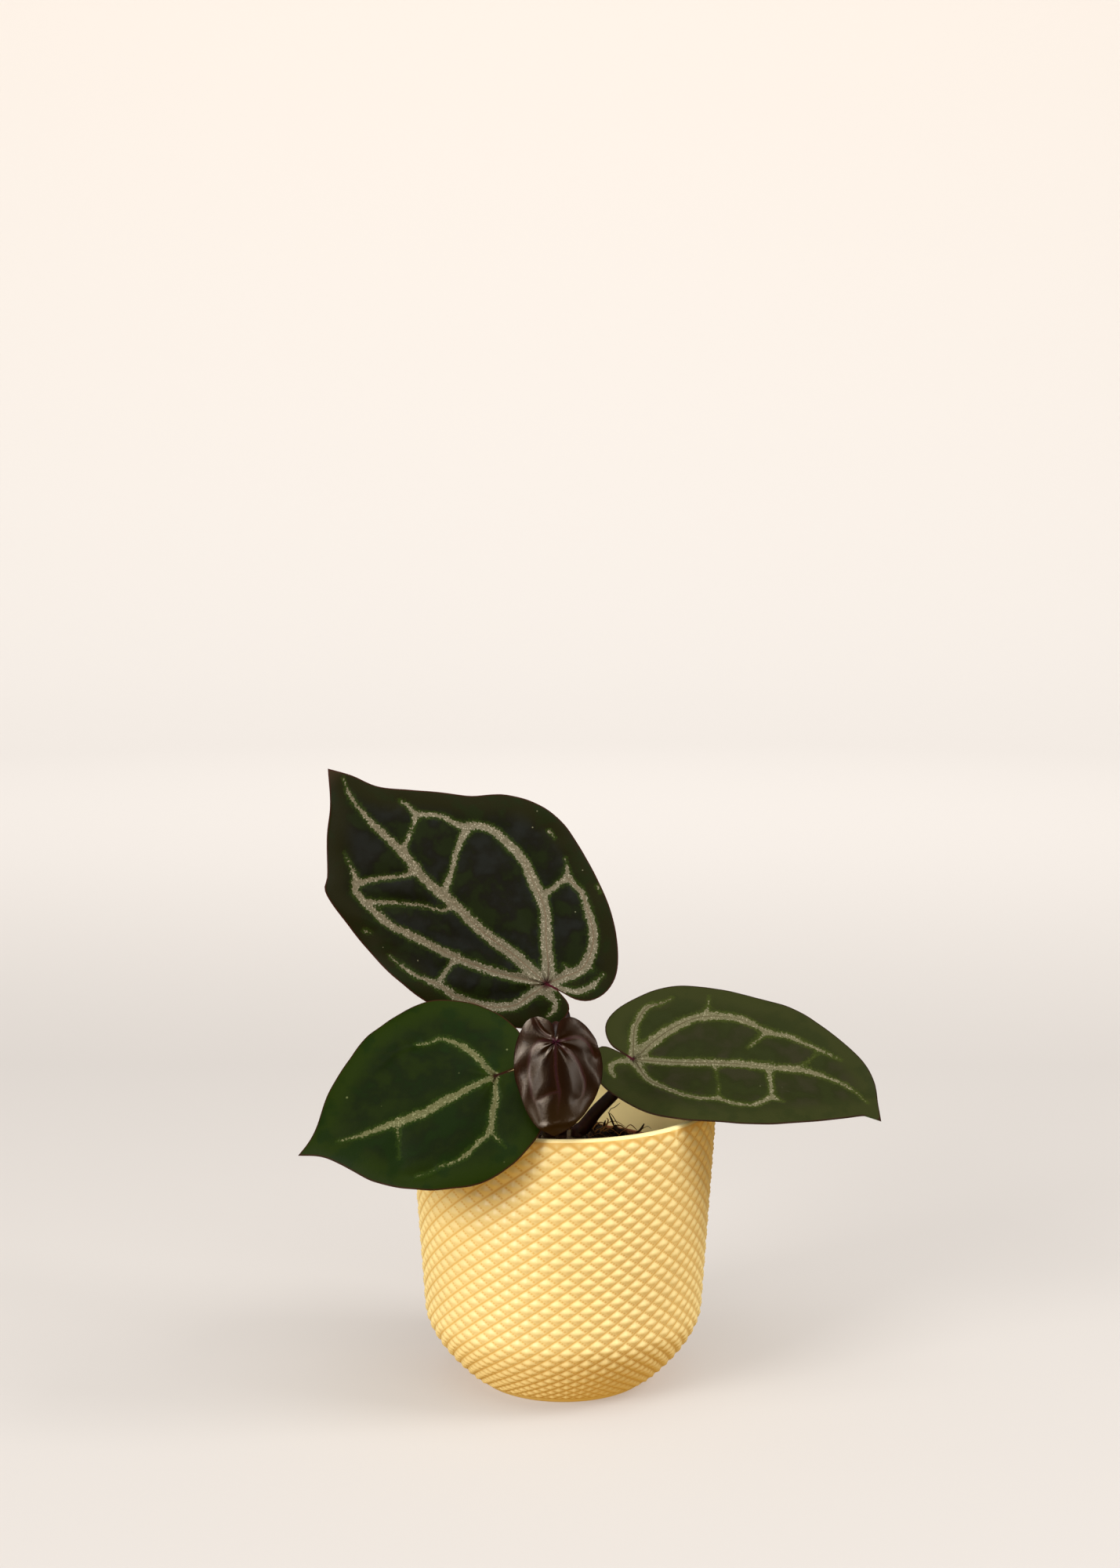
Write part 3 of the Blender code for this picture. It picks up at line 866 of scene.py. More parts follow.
    def landing(self, draw: Random, edge_radius: float, clearance: float) -> tuple[float, float]:
        """Draws a place on the heap, more often near its edge.

        Args:
            draw: The seeded random draw.
            edge_radius: The heap's radius.
            clearance: How far it stays from the hole and the edge.

        Returns:
            The place across the pot and from front to back.
        """
        room = edge_radius - self.hole_radius - 2 * clearance
        reach = self.hole_radius + clearance + room * draw.random() ** self.crowding
        angle = draw.uniform(0, 2 * pi)
        return reach * cos(angle), reach * sin(angle)

    def scatter_crumbs(self, draw: Random, edge_radius: float, material: Material) -> None:
        """Scatters crumbs of bark and peat over the heap, half sunk.

        Args:
            draw: The seeded random draw.
            edge_radius: The heap's radius.
            material: Their finish.
        """
        bm = bmesh.new()
        for _ in range(self.crumbs):
            x, y = self.landing(draw, edge_radius, self.crumb_clearance)
            size = draw.uniform(*self.crumb_mm) * MM
            size *= self.big_crumb_size if draw.random() < self.big_crumbs else 1.0
            place = Vector((x, y, self.level(x, y, edge_radius) + self.crumb_rise * size))
            angle = draw.uniform(0, 2 * pi)
            turn = Matrix.Rotation(angle, 4, Vector((draw.random(), draw.random(), draw.random() + 0.1)))
            stretch = Matrix.Diagonal((*(draw.uniform(*limits) for limits in self.crumb_stretch), 1.0))
            matrix = Matrix.Translation(place) @ turn @ stretch
            crumb = bmesh.ops.create_icosphere(bm, subdivisions=1, radius=size, matrix=matrix)["verts"]
            for point in crumb:
                point.co += (point.co - place) * draw.uniform(-self.crumb_dent, self.crumb_dent)
        self.finish("bark_crumbs", bm, [material], "soil", sharp_angle=radians(25))

    def scatter_fibres(self, draw: Random, edge_radius: float, material: Material) -> None:
        """Lays thin curved coir fibres on the heap.

        Args:
            draw: The seeded random draw.
            edge_radius: The heap's radius.
            material: Their finish.
        """
        inner, outer = self.hole_radius + self.hole_clearance, edge_radius - self.edge_clearance
        bm = bmesh.new()
        for _ in range(self.fibres):
            x, y = self.landing(draw, edge_radius, self.fibre_clearance)
            heading, curl = draw.uniform(0, 2 * pi), draw.uniform(-self.fibre_curl, self.fibre_curl)
            arch = draw.uniform(*self.fibre_arch_mm) * MM
            step = draw.uniform(*self.fibre_step_mm) * MM
            stations = []
            for index in range(self.fibre_stations):
                lifted = arch * sin(index / (self.fibre_stations - 1) * pi) + self.fibre_lift
                stations.append(Vector((x, y, self.level(x, y, edge_radius) + lifted)))
                heading += curl
                x, y = x + step * cos(heading), y + step * sin(heading)
                if not inner <= hypot(x, y) <= outer:
                    break
            if len(stations) > 3:
                radius = draw.uniform(*self.fibre_mm) * MM
                radii = [radius * (1 - 0.5 * index / len(stations)) for index in range(len(stations))]
                tube(bm, stations, radii, self.fibre_sides)
        self.finish("coir_fibres", bm, [material], "soil")

    def strands(self, name: str, routes: tuple[tuple[Route, float], ...], material: Material) -> None:
        """Makes the strands that stand up out of the heap, each tapered to both ends.

        Args:
            name: The piece's name.
            routes: Each strand's route and its thickest radius, in mm.
            material: Their finish.
        """
        bm = bmesh.new()
        for route, radius in routes:
            stations = [station * MM for station in smooth_curve(route, self.strand_stations)]
            shares = [(index + 0.5) / len(stations) for index in range(len(stations))]
            swells = [self.strand_end + (1 - self.strand_end) * sin(pi * share) for share in shares]
            tube(bm, stations, [radius * MM * swell for swell in swells], self.strand_sides)
        bmesh.ops.recalc_face_normals(bm, faces=bm.faces)
        self.finish(name, bm, [material], "soil")


@dataclass(frozen=True)
class Crown(Piece):
    """The short stem that carries the petioles, ringed by old leaf scars."""

    inset: float = 0.1 * MM
    body_share: float = 0.75
    foot_round: float = 0.4 * MM
    rounding: float = 0.5 * MM
    shoulder: float = 0.7 * MM
    lid_drop: float = 0.05 * MM
    flare_reach: float = 2.4 * MM
    scar_height: float = 0.12 * MM
    scar_spacing: float = 1.1 * MM
    steps: int = 24
    sides: int = 48

    def build(self) -> None:
        """Turns the crown inside its solid's box and roughens it."""
        low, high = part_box("crown")
        radius, top = high.x - self.inset, high.z
        body, foot = self.body_share * radius, low.z + self.rounding
        profile = [(0.0, low.z), (body - self.foot_round, low.z), (body, foot)]
        for index in range(1, self.steps):
            height = foot + (top - self.shoulder - foot) * index / self.steps
            flare = max(0.0, 1 - (top - self.shoulder - height) / self.flare_reach)
            scar = self.scar_height * sin(height / self.scar_spacing * 2 * pi)
            profile.append((body + (radius - body) * flare**1.5 + scar * (1 - flare), height))
        lid = (radius - self.rounding, top - self.lid_drop)
        bm = turned([*profile, (radius, top - self.rounding), lid, (0.0, top)], self.sides)
        skin = PlantSkin(name="crown_skin", tone="#2a1a0e", second="#5a4224", grain_mm=1.0, roughness=0.6)
        self.finish("crown_stem", bm, [skin.material()], "crown", ("crown",))


@dataclass(frozen=True)
class Petiole(Piece):
    """A leaf stalk: its route's points, in mm, from the crown to the back of the blade.

    The swelling and the waist each say how much they add, where along the stalk and how far round.
    """

    name: str
    route: Route
    base_radius: float
    top_radius: float
    foot: float = 1.2
    tip_gap: float = 0.3
    tip_taper: float = 0.6
    swelling: tuple[float, float, float] = (0.10, 0.90, 0.06)
    waist: tuple[float, float, float] = (-0.08, 0.45, 0.3)
    slimming: float = 0.99
    stations: int = 44
    sides: int = 20

    def build(self, material: Material) -> None:
        """Makes the stalk, with a flared sheath at its foot and a swelling below the blade.

        Args:
            material: The stalks' shared finish.
        """
        foot = Vector(self.route[0])
        upright = foot + Vector((0.0, 0.0, self.foot))
        stations = [foot, *smooth_curve((upright, *self.route[1:]), self.stations)]
        share = np.linspace(0.0, 1.0, len(stations))
        radii = self.base_radius + share * (self.top_radius - self.base_radius)
        change = np.ones(len(stations))
        for added, place, reach in (self.swelling, self.waist):
            change += added * np.exp(-(((share - place) / reach) ** 2))
        radii *= change * self.slimming * MM
        stations[-1] += (stations[-2] - stations[-1]).normalized() * self.tip_gap
        radii[-1] *= self.tip_taper
        bm = bmesh.new()
        tube(bm, [station * MM for station in stations], radii.tolist(), self.sides)
        bmesh.ops.recalc_face_normals(bm, faces=bm.faces)
        self.finish(f"stalk_{self.name}", bm, [material], "petiole", (f"petiole_{self.name}",))


def measure(places: np.ndarray, line: np.ndarray) -> tuple[np.ndarray, np.ndarray, np.ndarray]:
    """Measures places against a line.

    Args:
        places: Places on the flat blade, in mm, one row each.
        line: The line's points, one row each.

    Returns:
        The distance to the line, its side as -1 or 1, and how far along the line it lies, from 0 to 1.
    """
    best = np.full(len(places), np.inf)
    side = np.ones(len(places))
    travelled = np.zeros(len(places))
    for index, (start, end) in enumerate(zip(line, line[1:])):
        run = end - start
        offset = places - start
        share = np.clip(offset @ run / (run @ run), 0, 1)
        distance = np.linalg.norm(offset - share[:, None] * run, axis=1)
        nearer = distance < best
        best = np.where(nearer, distance, best)
        side = np.where(nearer, np.where(run[0] * offset[:, 1] < run[1] * offset[:, 0], -1.0, 1.0), side)
        travelled = np.where(nearer, index + share, travelled)
    return best, side, travelled / (len(line) - 1)


@dataclass(frozen=True)
class Vein:
    """A vein's route over the blade, in mm across and along it, and its half widths on the way."""

    route: Route
    widths: tuple[float, ...]
    main: bool = False

    def distances(self, places: np.ndarray) -> tuple[np.ndarray, np.ndarray]:
        """Measures places against the vein.

        Args:
            places: Places on the flat blade, in mm, one row each.

        Returns:
            The distance to the vein's edge, negative inside it, and to its middle, negative on one
            side, in mm.
        """
        line = np.array(smooth_curve(self.route, 3 * len(self.route)))
        distance, side, share = measure(places, line)
        width = np.interp(share, np.linspace(0, 1, len(self.widths)), self.widths)
        return distance - width, side * distance


@dataclass(frozen=True)
class Crease:
    """A soft valley pressed into a blade, or a ridge if its depth is negative, in mm."""

    route: Route
    depth: float
    reach: float

    def heights(self, places: np.ndarray) -> np.ndarray:
        """How far the crease lifts the blade at each place, in mm."""
        distance, _, share = measure(places, np.array(smooth_curve(self.route, 4 * len(self.route))))
        return -self.depth * np.exp(-((distance / self.reach) ** 2)) * np.sin(pi * share) ** 0.5


@dataclass(frozen=True)
class Blade(Piece):
    """A heart-shaped blade. Margin points are (across, along) the midrib, in mm, sinus to tip."""

    name: str
    attachment: Place
    along: Place
    face: Place
    right_margin: Route
    left_margin: Route
    right_fold: float
    left_fold: float
    bow: float
    length: float
    wave: float
    wave_count: int
    wave_phase: float
    veins: tuple[Vein, ...]
    lamina: LeafLamina
    petiole: Petiole
    underside: LeafUnderside = LeafUnderside()
    creases: tuple[Crease, ...] = ()
    bulge: float = 0.5
    bulge_reach: float = 2.5
    bulge_sink: float = 0.3
    bulge_calm: float = 2.0
    vein_round: float = 0.4
    wave_reach: float = 0.1
    ragged: float = 0.25
    ragged_length: float = 5.0
    web: float = 0.45
    thickness: float = 0.5
    edge_thinning: float = 0.5
    edge_reach: float = 0.6
    rib_height: float = 0.35
    rib_reach: float = 0.9
    rib_calm: float = 4.0
    spokes: int = 192
    rings: int = 36
    last_ring: float = 0.985
    joined: float = 0.0001
    refinements: tuple[tuple[float, float], ...] = ((2.4, 0.9), (1.0, 0.5))
    crease_width: float = 2.0
    edge_blend: float = 1.8

    def margin(self) -> list[Vector]:
        """The blade's outline, slightly uneven between the sinus and the tip.

        Returns:
            One point for each spoke, in mm, from the sinus up the right side and down the left.
        """
        half = self.spokes // 2 + 1
        outline = smooth_curve(self.right_margin, half) + smooth_curve(self.left_margin, half)[-2:0:-1]
        for index, point in enumerate(outline):
            unevenness = noise.noise(Vector((point.x, point.y, self.length)) / self.ragged_length)
            calm = sin(2 * pi * index / self.spokes) ** 2
            point *= 1 + self.ragged * calm * unevenness / point.length
        return outline

    def flat_disc(self, margin: list[Vector]) -> BMesh:
        """Spins a disc of spokes and rings and lays it out flat to the margin, in mm.

        Args:
            margin: The outline's points, one for each spoke.

        Returns:
            The flat blade, whose vertices hold how far the margin beyond them waves, in mm.
        """
        bm = bmesh.new()
        shares = [*np.linspace(0.0, self.last_ring, self.rings), 1.0]
        spin(bm, [bm.verts.new((0.0, -share, 0.0)) for share in shares], self.spokes, self.joined)
        wave_layer = bm.verts.layers.float.new("wave")
        for point in bm.verts:
            share = point.co.xy.length
            angle = atan2(point.co.x, -point.co.y) % (2 * pi)
            spoke = round(angle * self.spokes / (2 * pi)) % self.spokes
            turn = 2 * pi * spoke / self.spokes
            point[wave_layer] = self.wave * sin(self.wave_count * turn + self.wave_phase) * sin(turn) ** 2
            point.co = (margin[spoke].x * share, margin[spoke].y * share, 0.0)
        return bm

    def vein_distances(self, places: np.ndarray) -> tuple[np.ndarray, np.ndarray, np.ndarray]:
        """Measures places against every vein. Where veins meet, a small web joins their edges.

        Args:
            places: Places on the flat blade, in mm, one row each.

        Returns:
            The distance to the nearest edge, to the nearest middle, and to the nearest main vein's
            middle, which is negative on one side of it, in mm.
        """
        measured = [vein.distances(places) for vein in self.veins]
        edges = np.array([edge for edge, _ in measured])
        lowest = edges.min(axis=0)
        edge = lowest - self.web * np.log(np.exp(-(edges - lowest) / self.web).sum(axis=0))
        middle = np.min([np.abs(middle) for _, middle in measured], axis=0)
        mains = np.array([middle for vein, (_, middle) in zip(self.veins, measured) if vein.main])
        nearest = np.abs(mains).argmin(axis=0)
        return edge, middle, mains[nearest, np.arange(len(places))]

    def refine(self, bm: BMesh) -> None:
        """Splits the long edges near the veins, so that their outlines are drawn finely.

        Args:
            bm: The flat blade.
        """
        for reach, longest in self.refinements:
            bm.verts.index_update()
            edge, _, _ = self.vein_distances(np.array([point.co.xy for point in bm.verts]))
            edge = np.abs(edge)
            near = [
                line for line in bm.edges
                if line.calc_length() > longest and max(edge[point.index] for point in line.verts) < reach
            ]
            bmesh.ops.subdivide_edges(bm, edges=near, cuts=1, use_grid_fill=True)

    def lift(self, across: np.ndarray, along: np.ndarray) -> np.ndarray:
        """Height of the sheet above its plane, from the fold at the midrib and the bow.

        Args:
            across: Places across the midrib, in mm.
            along: Places along the midrib, in mm.

        Returns:
            The heights, in mm.
        """
        fold = np.where(across > 0, self.right_fold, self.left_fold)
        crease = np.sqrt(across**2 + self.crease_width**2) - self.crease_width
        return -fold * crease - self.bow * (along / self.length) ** 2

    def measures(self, places: np.ndarray, margin: list[Vector]) -> dict[str, np.ndarray]:
        """What the leaf's finish and thickness are drawn from.

        Args:
            places: Places on the flat blade, in mm, one row each.
            margin: The outline's points.

        Returns:
            For each name one value for each place: distances in mm, and the share of the length. "rim"
            is the distance to the margin, and "inside" the same without a kink along the middle.
        """
        outline = np.array([(point.x, point.y) for point in [*margin, margin[0]]])
        edge, middle, rib = self.vein_distances(places)
        half = self.spokes // 2
        to_right, _, _ = measure(places, outline[: half + 1])
        to_left, _, _ = measure(places, outline[half:])
        both = np.exp(-to_right / self.edge_blend) + np.exp(-to_left / self.edge_blend)
        to_sinus, side, _ = measure(places, np.array([(0.0, 0.0), outline[0]]))
        return {
            "vein_edge": edge, "middle": middle, "rib": rib, "rim": np.minimum(to_right, to_left),
            "inside": np.maximum(0.0, -self.edge_blend * np.log(both)), "seam": side * to_sinus,
            "heart": np.linalg.norm(places, axis=1), "tip": places[:, 1] / self.length,
        }

    def heights(self, at: dict[str, np.ndarray], places: np.ndarray, waves: np.ndarray) -> np.ndarray:
        """How far the whole sheet stands off its plane: fold, bow, waves, swells and creases.

        Args:
            at: The blade's measures.
            places: Places on the flat blade, in mm, one row each.
            waves: How far the margin beyond each place waves, in mm.

        Returns:
            The heights, in mm.
        """
        from_vein = np.sqrt(at["middle"] ** 2 + self.vein_round**2) - self.vein_round
        dome = 1 - np.exp(-from_vein / self.bulge_reach) - self.bulge_sink
        calm = (1 - np.exp(-at["inside"] / self.bulge_calm)) * at["heart"] / (at["heart"] + self.bulge_calm)
        waves = waves * np.exp(-at["inside"] / (self.wave_reach * self.length))
        creases = sum(crease.heights(places) for crease in self.creases)
        return self.lift(places[:, 0], places[:, 1]) + waves + self.bulge * dome * calm + creases

    def build(self, stalk_skin: Material, margin_skin: Material) -> None:
        """Shapes the blade, gives it its thickness and dresses it.

        Args:
            stalk_skin: The stalks' finish.
            margin_skin: The finish of the thin edge.
        """
        margin = self.margin()
        bm = self.flat_disc(margin)
        self.refine(bm)
        bmesh.ops.triangulate(bm, faces=bm.faces)
        bm.verts.index_update()
        wave_layer = bm.verts.layers.float["wave"]
        places = np.array([point.co.xy for point in bm.verts])
        at = self.measures(places, margin)
        heights = self.heights(at, places, np.array([point[wave_layer] for point in bm.verts]))
        ribs = np.exp(-((at["middle"] / self.rib_reach) ** 2)) * (1 - np.exp(-at["rim"] / self.rib_calm))
        thinned = 1 - self.edge_thinning * np.exp(-at["rim"] / self.edge_reach)
        at["depth"] = self.thickness * thinned + self.rib_height * ribs
        for name in ("vein_edge", "rib", "rim", "seam", "heart", "tip", "depth"):
            layer = bm.verts.layers.float.new(name)
            for point, value in zip(bm.verts, at[name]):
                point[layer] = value
        origin, along, face = Vector(self.attachment), Vector(self.along).normalized(), Vector(self.face)
        normal = (face - along * face.dot(along)).normalized()
        across = along.cross(normal)
        for point, place, height in zip(bm.verts, places, heights):
            point.co = (origin + across * place[0] + along * place[1] + normal * height) * MM
        bm.normal_update()
        if sum((surface.normal.dot(normal) for surface in bm.faces), 0.0) < 0:
            bmesh.ops.reverse_faces(bm, faces=bm.faces)
        self.thicken(bm, normal)
        finishes = [self.lamina.material(), self.underside.material(), margin_skin]
        node = f"leaf_{self.name}"
        self.finish(f"blade_{self.name}", bm, finishes, node, (node,), sharp_angle=radians(60))
        self.petiole.build(stalk_skin)

    def thicken(self, bm: BMesh, normal: Vector) -> None:
        """Extrudes the sheet to the back by the depth that its vertices hold, and closes it.

        Args:
            bm: The sheet, with its upper face outwards.
            normal: The direction that the blade faces.
        """
        depth = bm.verts.layers.float["depth"]
        for point in bm.verts:
            point.co += normal * min(self.thickness, point[depth]) / 2 * MM
        upper = set(bm.faces)
        made = bmesh.ops.extrude_face_region(bm, geom=list(bm.faces), use_keep_orig=True)["geom"]
        lower = {item for item in made if isinstance(item, BMFace)}
        for item in made:
            if isinstance(item, BMVert):
                item.co -= normal * item[depth] * MM
        for surface in bm.faces:
            surface.material_index = 0 if surface in upper else 1 if surface in lower else 2
        bmesh.ops.recalc_face_normals(bm, faces=bm.faces)


BACK_BLADE = Blade(
    name="back", attachment=(-4.3, 6.0, 98.1), along=(-0.7, 0.14, 0.7), face=(0.1, -0.93, 0.36),
    right_margin=(
        (1.0, -3.0), (2.6, -8.0), (5.5, -11.0), (10.0, -12.0), (15.0, -10.5), (20.0, -6.0), (24.5, 0.5),
        (28.0, 8.0), (31.0, 17.0), (32.5, 26.5), (31.0, 34.5), (27.0, 41.5), (20.0, 47.5), (15.0, 53.5),
        (10.5, 58.5), (5.0, 65.0), (2.3, 71.5), (-0.8, 77.0),
    ),
    left_margin=(
        (1.0, -3.0), (0.5, -7.5), (-2.0, -9.2), (-7.0, -8.3), (-13.0, -2.0), (-19.0, 7.0), (-23.5, 17.5),
        (-25.0, 30.0), (-24.0, 45.0), (-22.4, 55.0), (-19.0, 58.0), (-12.5, 65.0), (-6.7, 70.0),
        (-0.8, 77.0),
    ),
    right_fold=0.1, left_fold=0.38, bow=4.0, length=77.0, wave=0.7, wave_count=8, wave_phase=0.6,
    bulge=0.9, bulge_reach=3.5,
    creases=(
        Crease((
            (-15.5, 43.0), (-10.2, 37.8), (-8.7, 33.8), (-8.3, 28.5), (-7.6, 23.5), (-5.2, 16.8),
            (-2.4, 9.1),
        ), 0.8, 2.2),
        Crease(((14.0, 30.0), (20.0, 33.0), (26.0, 37.5), (29.5, 41.0)), 0.6, 2.4),
        Crease(((6.0, 12.0), (9.0, 20.0), (11.0, 28.0)), 0.5, 3.0),
    ),
    veins=(
        Vein((
            (0.0, 0.0), (-0.7, 10.9), (-2.2, 20.0), (-2.4, 30.6), (-3.2, 39.5), (-2.4, 49.1), (-2.7, 55.8),
            (-2.4, 63.4), (-1.6, 68.4), (0.2, 72.4),
        ), (1.5, 1.4, 1.3, 1.1, 1.0, 1.0, 0.9, 0.7, 0.4, 0.0), main=True),
        Vein((
            (0.4, 0.2), (1.9, 0.9), (7.4, 7.3), (13.3, 13.7), (16.0, 20.3), (18.2, 26.0), (18.5, 31.4),
            (18.2, 36.7), (15.7, 40.8), (13.0, 43.0), (11.1, 48.4), (7.1, 53.2), (7.0, 56.4), (6.5, 58.1),
        ), (1.5, 1.5, 1.4, 1.3, 1.3, 1.2, 1.1, 1.1, 1.0, 0.9, 0.6, 0.5, 0.55, 0.2), main=True),
        Vein(((-2.8, 34.0), (2.7, 36.4), (8.2, 39.7), (13.9, 41.8)), (0.8, 0.5, 0.55, 0.9)),
        Vein(((-2.4, 48.8), (3.0, 51.0), (6.9, 53.1)), (0.6, 0.3, 0.5)),
        Vein((
            (0.4, -0.2), (4.4, -1.8), (8.5, -3.5), (12.9, -2.8), (17.3, 0.1), (20.2, 4.4), (23.1, 10.1),
            (23.2, 15.2),
        ), (1.2, 1.3, 1.2, 1.2, 1.1, 0.9, 0.7, 0.6), main=True),
        Vein(((23.2, 15.2), (20.8, 15.7), (17.5, 16.0), (14.7, 16.4)), (0.6, 0.5, 0.5, 0.7)),
        Vein(((23.2, 15.2), (25.2, 17.3), (26.5, 19.3)), (0.5, 0.3, -0.1)),
        Vein(((6.3, -2.8), (6.6, -0.7), (6.8, 0.5)), (0.4, 0.3, -0.1)),
        Vein(((11.0, -3.4), (11.1, -5.6)), (0.4, -0.1)),
        Vein((
            (0.9, -1.6), (1.6, -3.4), (4.7, -7.2), (8.5, -8.4), (12.2, -8.4),
        ), (0.6, 0.6, 0.7, 0.6, 0.1)),
        Vein((
            (-0.3, 0.4), (-5.8, 9.1), (-9.2, 16.1), (-11.6, 22.1), (-14.4, 30.6), (-16.5, 36.9),
            (-17.2, 43.3), (-16.9, 50.1), (-15.0, 51.7), (-13.6, 55.3), (-12.3, 58.9),
        ), (1.1, 1.0, 0.95, 0.9, 0.85, 0.8, 0.8, 0.8, 0.7, 0.4, -0.1), main=True),
        Vein((
            (-2.7, 42.9), (-5.3, 43.7), (-7.4, 45.1), (-10.8, 48.0), (-15.6, 51.4),
        ), (0.5, 0.4, 0.4, 0.5, 0.7)),
        Vein((
            (-3.0, 30.3), (-5.3, 30.9), (-7.5, 35.0), (-11.4, 40.1), (-16.4, 45.6),
        ), (0.4, 0.2, 0.2, 0.3, 0.5)),
        Vein((
            (-0.4, 0.0), (-4.4, 0.6), (-9.3, 1.8), (-13.5, 5.8), (-15.6, 9.3), (-17.8, 14.1),
            (-18.3, 17.8), (-19.7, 21.3), (-20.9, 24.3), (-21.6, 27.9), (-22.0, 32.5),
        ), (1.1, 1.2, 1.1, 1.0, 1.0, 0.9, 0.8, 0.6, 0.4, 0.3, -0.1), main=True),
        Vein(((-10.9, 20.3), (-14.4, 19.9), (-18.6, 19.0)), (0.5, 0.45, 0.6)),
        Vein((
            (-0.4, -0.4), (-1.5, -1.6), (-1.4, -4.6), (-3.3, -6.0), (-5.3, -6.0),
        ), (0.9, 0.8, 0.7, 0.6, 0.1)),
        Vein(((28.4, 26.8), (28.2, 24.8)), (0.15, 0.0)),
        Vein(((27.2, 8.3), (26.7, 6.7)), (0.2, 0.0)),
        Vein(((-22.1, 41.4), (-21.4, 39.9)), (0.15, 0.0)),
    ),
    lamina=LeafLamina(name="dark_velvet_leaf"),
    petiole=Petiole(
        name="back",
        route=(
            (-1.0, 3.3, 61.3), (-1.0, 3.4, 64.0), (0.4, 7.0, 76.0), (0.4, 10.6, 88.0), (-3.2, 11.4, 95.2),
            (-4.7, 9.0, 97.1), (-4.4, 6.7, 97.9),
        ),
        base_radius=2.0, top_radius=1.4,
    ),
)

RIGHT_BLADE = Blade(
    name="right", attachment=(17.0, -5.0, 81.5), along=(0.99, -0.139, -0.02), face=(-0.02, -0.56, 0.82),
    right_margin=(
        (-1.2, -1.6), (-3.6, -7.0), (-2.5, -9.3), (1.5, -9.8), (6.3, -8.3), (10.5, -6.0), (14.5, -2.0),
        (18.0, 4.0), (20.0, 11.0), (20.6, 19.0), (19.3, 28.0), (17.0, 37.0), (14.3, 45.0), (10.8, 52.0),
        (8.0, 57.5), (8.7, 61.0),
    ),
    left_margin=(
        (-1.2, -1.6), (-4.4, -6.0), (-9.5, -7.8), (-14.3, -5.6), (-18.5, 0.0), (-21.5, 7.0), (-22.6, 15.0),
        (-22.4, 23.0), (-20.8, 31.0), (-19.0, 40.0), (-15.3, 47.6), (-9.6, 55.2), (-3.9, 58.9),
        (3.5, 60.2), (8.7, 61.0),
    ),
    right_fold=-0.18, left_fold=-0.18, bow=9.0, length=62.0, wave=0.5, wave_count=7, wave_phase=2.0,
    bulge=0.4, bulge_reach=3.0, web=0.55,
    veins=(
        Vein((
            (0.0, 0.0), (0.1, 9.6), (-0.9, 18.8), (-1.7, 25.7), (-2.0, 33.6), (-2.8, 41.9), (-1.7, 48.9),
            (-0.1, 53.6), (3.3, 57.5),
        ), (0.8, 0.96, 0.96, 0.88, 0.88, 0.72, 0.56, 0.32, -0.1), main=True),
        Vein((
            (-0.4, 0.6), (-5.5, 4.4), (-9.7, 8.7), (-12.8, 13.2), (-14.1, 16.8), (-14.6, 22.5),
            (-13.9, 27.2), (-11.9, 32.1), (-11.8, 36.7), (-10.6, 41.5), (-9.2, 46.2), (-7.8, 50.5),
        ), (1.3, 1.3, 1.2, 1.1, 1, 0.96, 0.8, 0.56, 0.56, 0.48, 0.32, -0.1), main=True),
        Vein(((-11.8, 32.3), (-9.2, 29.9), (-6.6, 27.7)), (0.4, 0.1, -0.1)),
        Vein(((-14.1, 16.8), (-16.3, 17.0), (-20.2, 17.3)), (0.4, 0.0, -0.2)),
        Vein(((-2.6, 39.3), (-5.3, 42.2), (-7.7, 44.4)), (0.1, -0.2, -0.25)),
        Vein((
            (-0.4, 0.1), (-7.9, -0.5), (-11.2, 0.1), (-15.2, 2.1), (-16.5, 5.3), (-18.4, 8.0),
        ), (0.96, 0.88, 0.8, 0.64, 0.4, -0.1), main=True),
        Vein((
            (0.4, 0.6), (6.5, 4.2), (9.3, 8.2), (11.4, 13.0), (12.1, 17.7), (11.5, 22.2), (12.4, 25.5),
            (12.3, 29.1), (10.9, 32.2), (8.5, 34.5), (9.0, 37.5),
        ), (0.96, 0.8, 0.64, 0.56, 0.52, 0.48, 0.4, 0.4, 0.4, 0.48, 0), main=True),
        Vein(((-2.1, 33.1), (4.0, 34.2), (8.4, 34.6)), (0.4, 0.35, 0.35)),
        Vein(((-1.0, 20.0), (5.4, 21.4), (11.6, 22.0)), (0.0, -0.3, -0.2)),
        Vein(((0.3, -0.3), (1.1, -3.9), (3.7, -5.2), (6.8, -3.6)), (0.8, 0.6, 0.6, 0.1)),
    ),
    lamina=LeafLamina(
        name="matt_green_leaf", panel="#21250b", flank="#222808", outer="#2c3012", patch="#292916",
        moss="#252b0e", border="#353e12", vein="#69664c", shade="#504e35", glint="#8d8970", rib="#4e4832",
        heart="#321316", margin="#28160c", tip="#3c2a14", speck="#6a6a4c", sheen=0.05, specular=0.05,
        roughness=0.5, heart_mm=1.1, tip_from=0.965,
    ),
    petiole=Petiole(
        name="right",
        route=(
            (3.6, -0.7, 61.3), (5.0, -0.8, 63.3), (8.2, -1.2, 67.5), (12.4, -1.6, 72.0),
            (15.5, -2.1, 75.8), (17.1, -3.2, 78.9), (17.04, -4.64, 80.96),
        ),
        base_radius=1.9, top_radius=1.5,
    ),
)

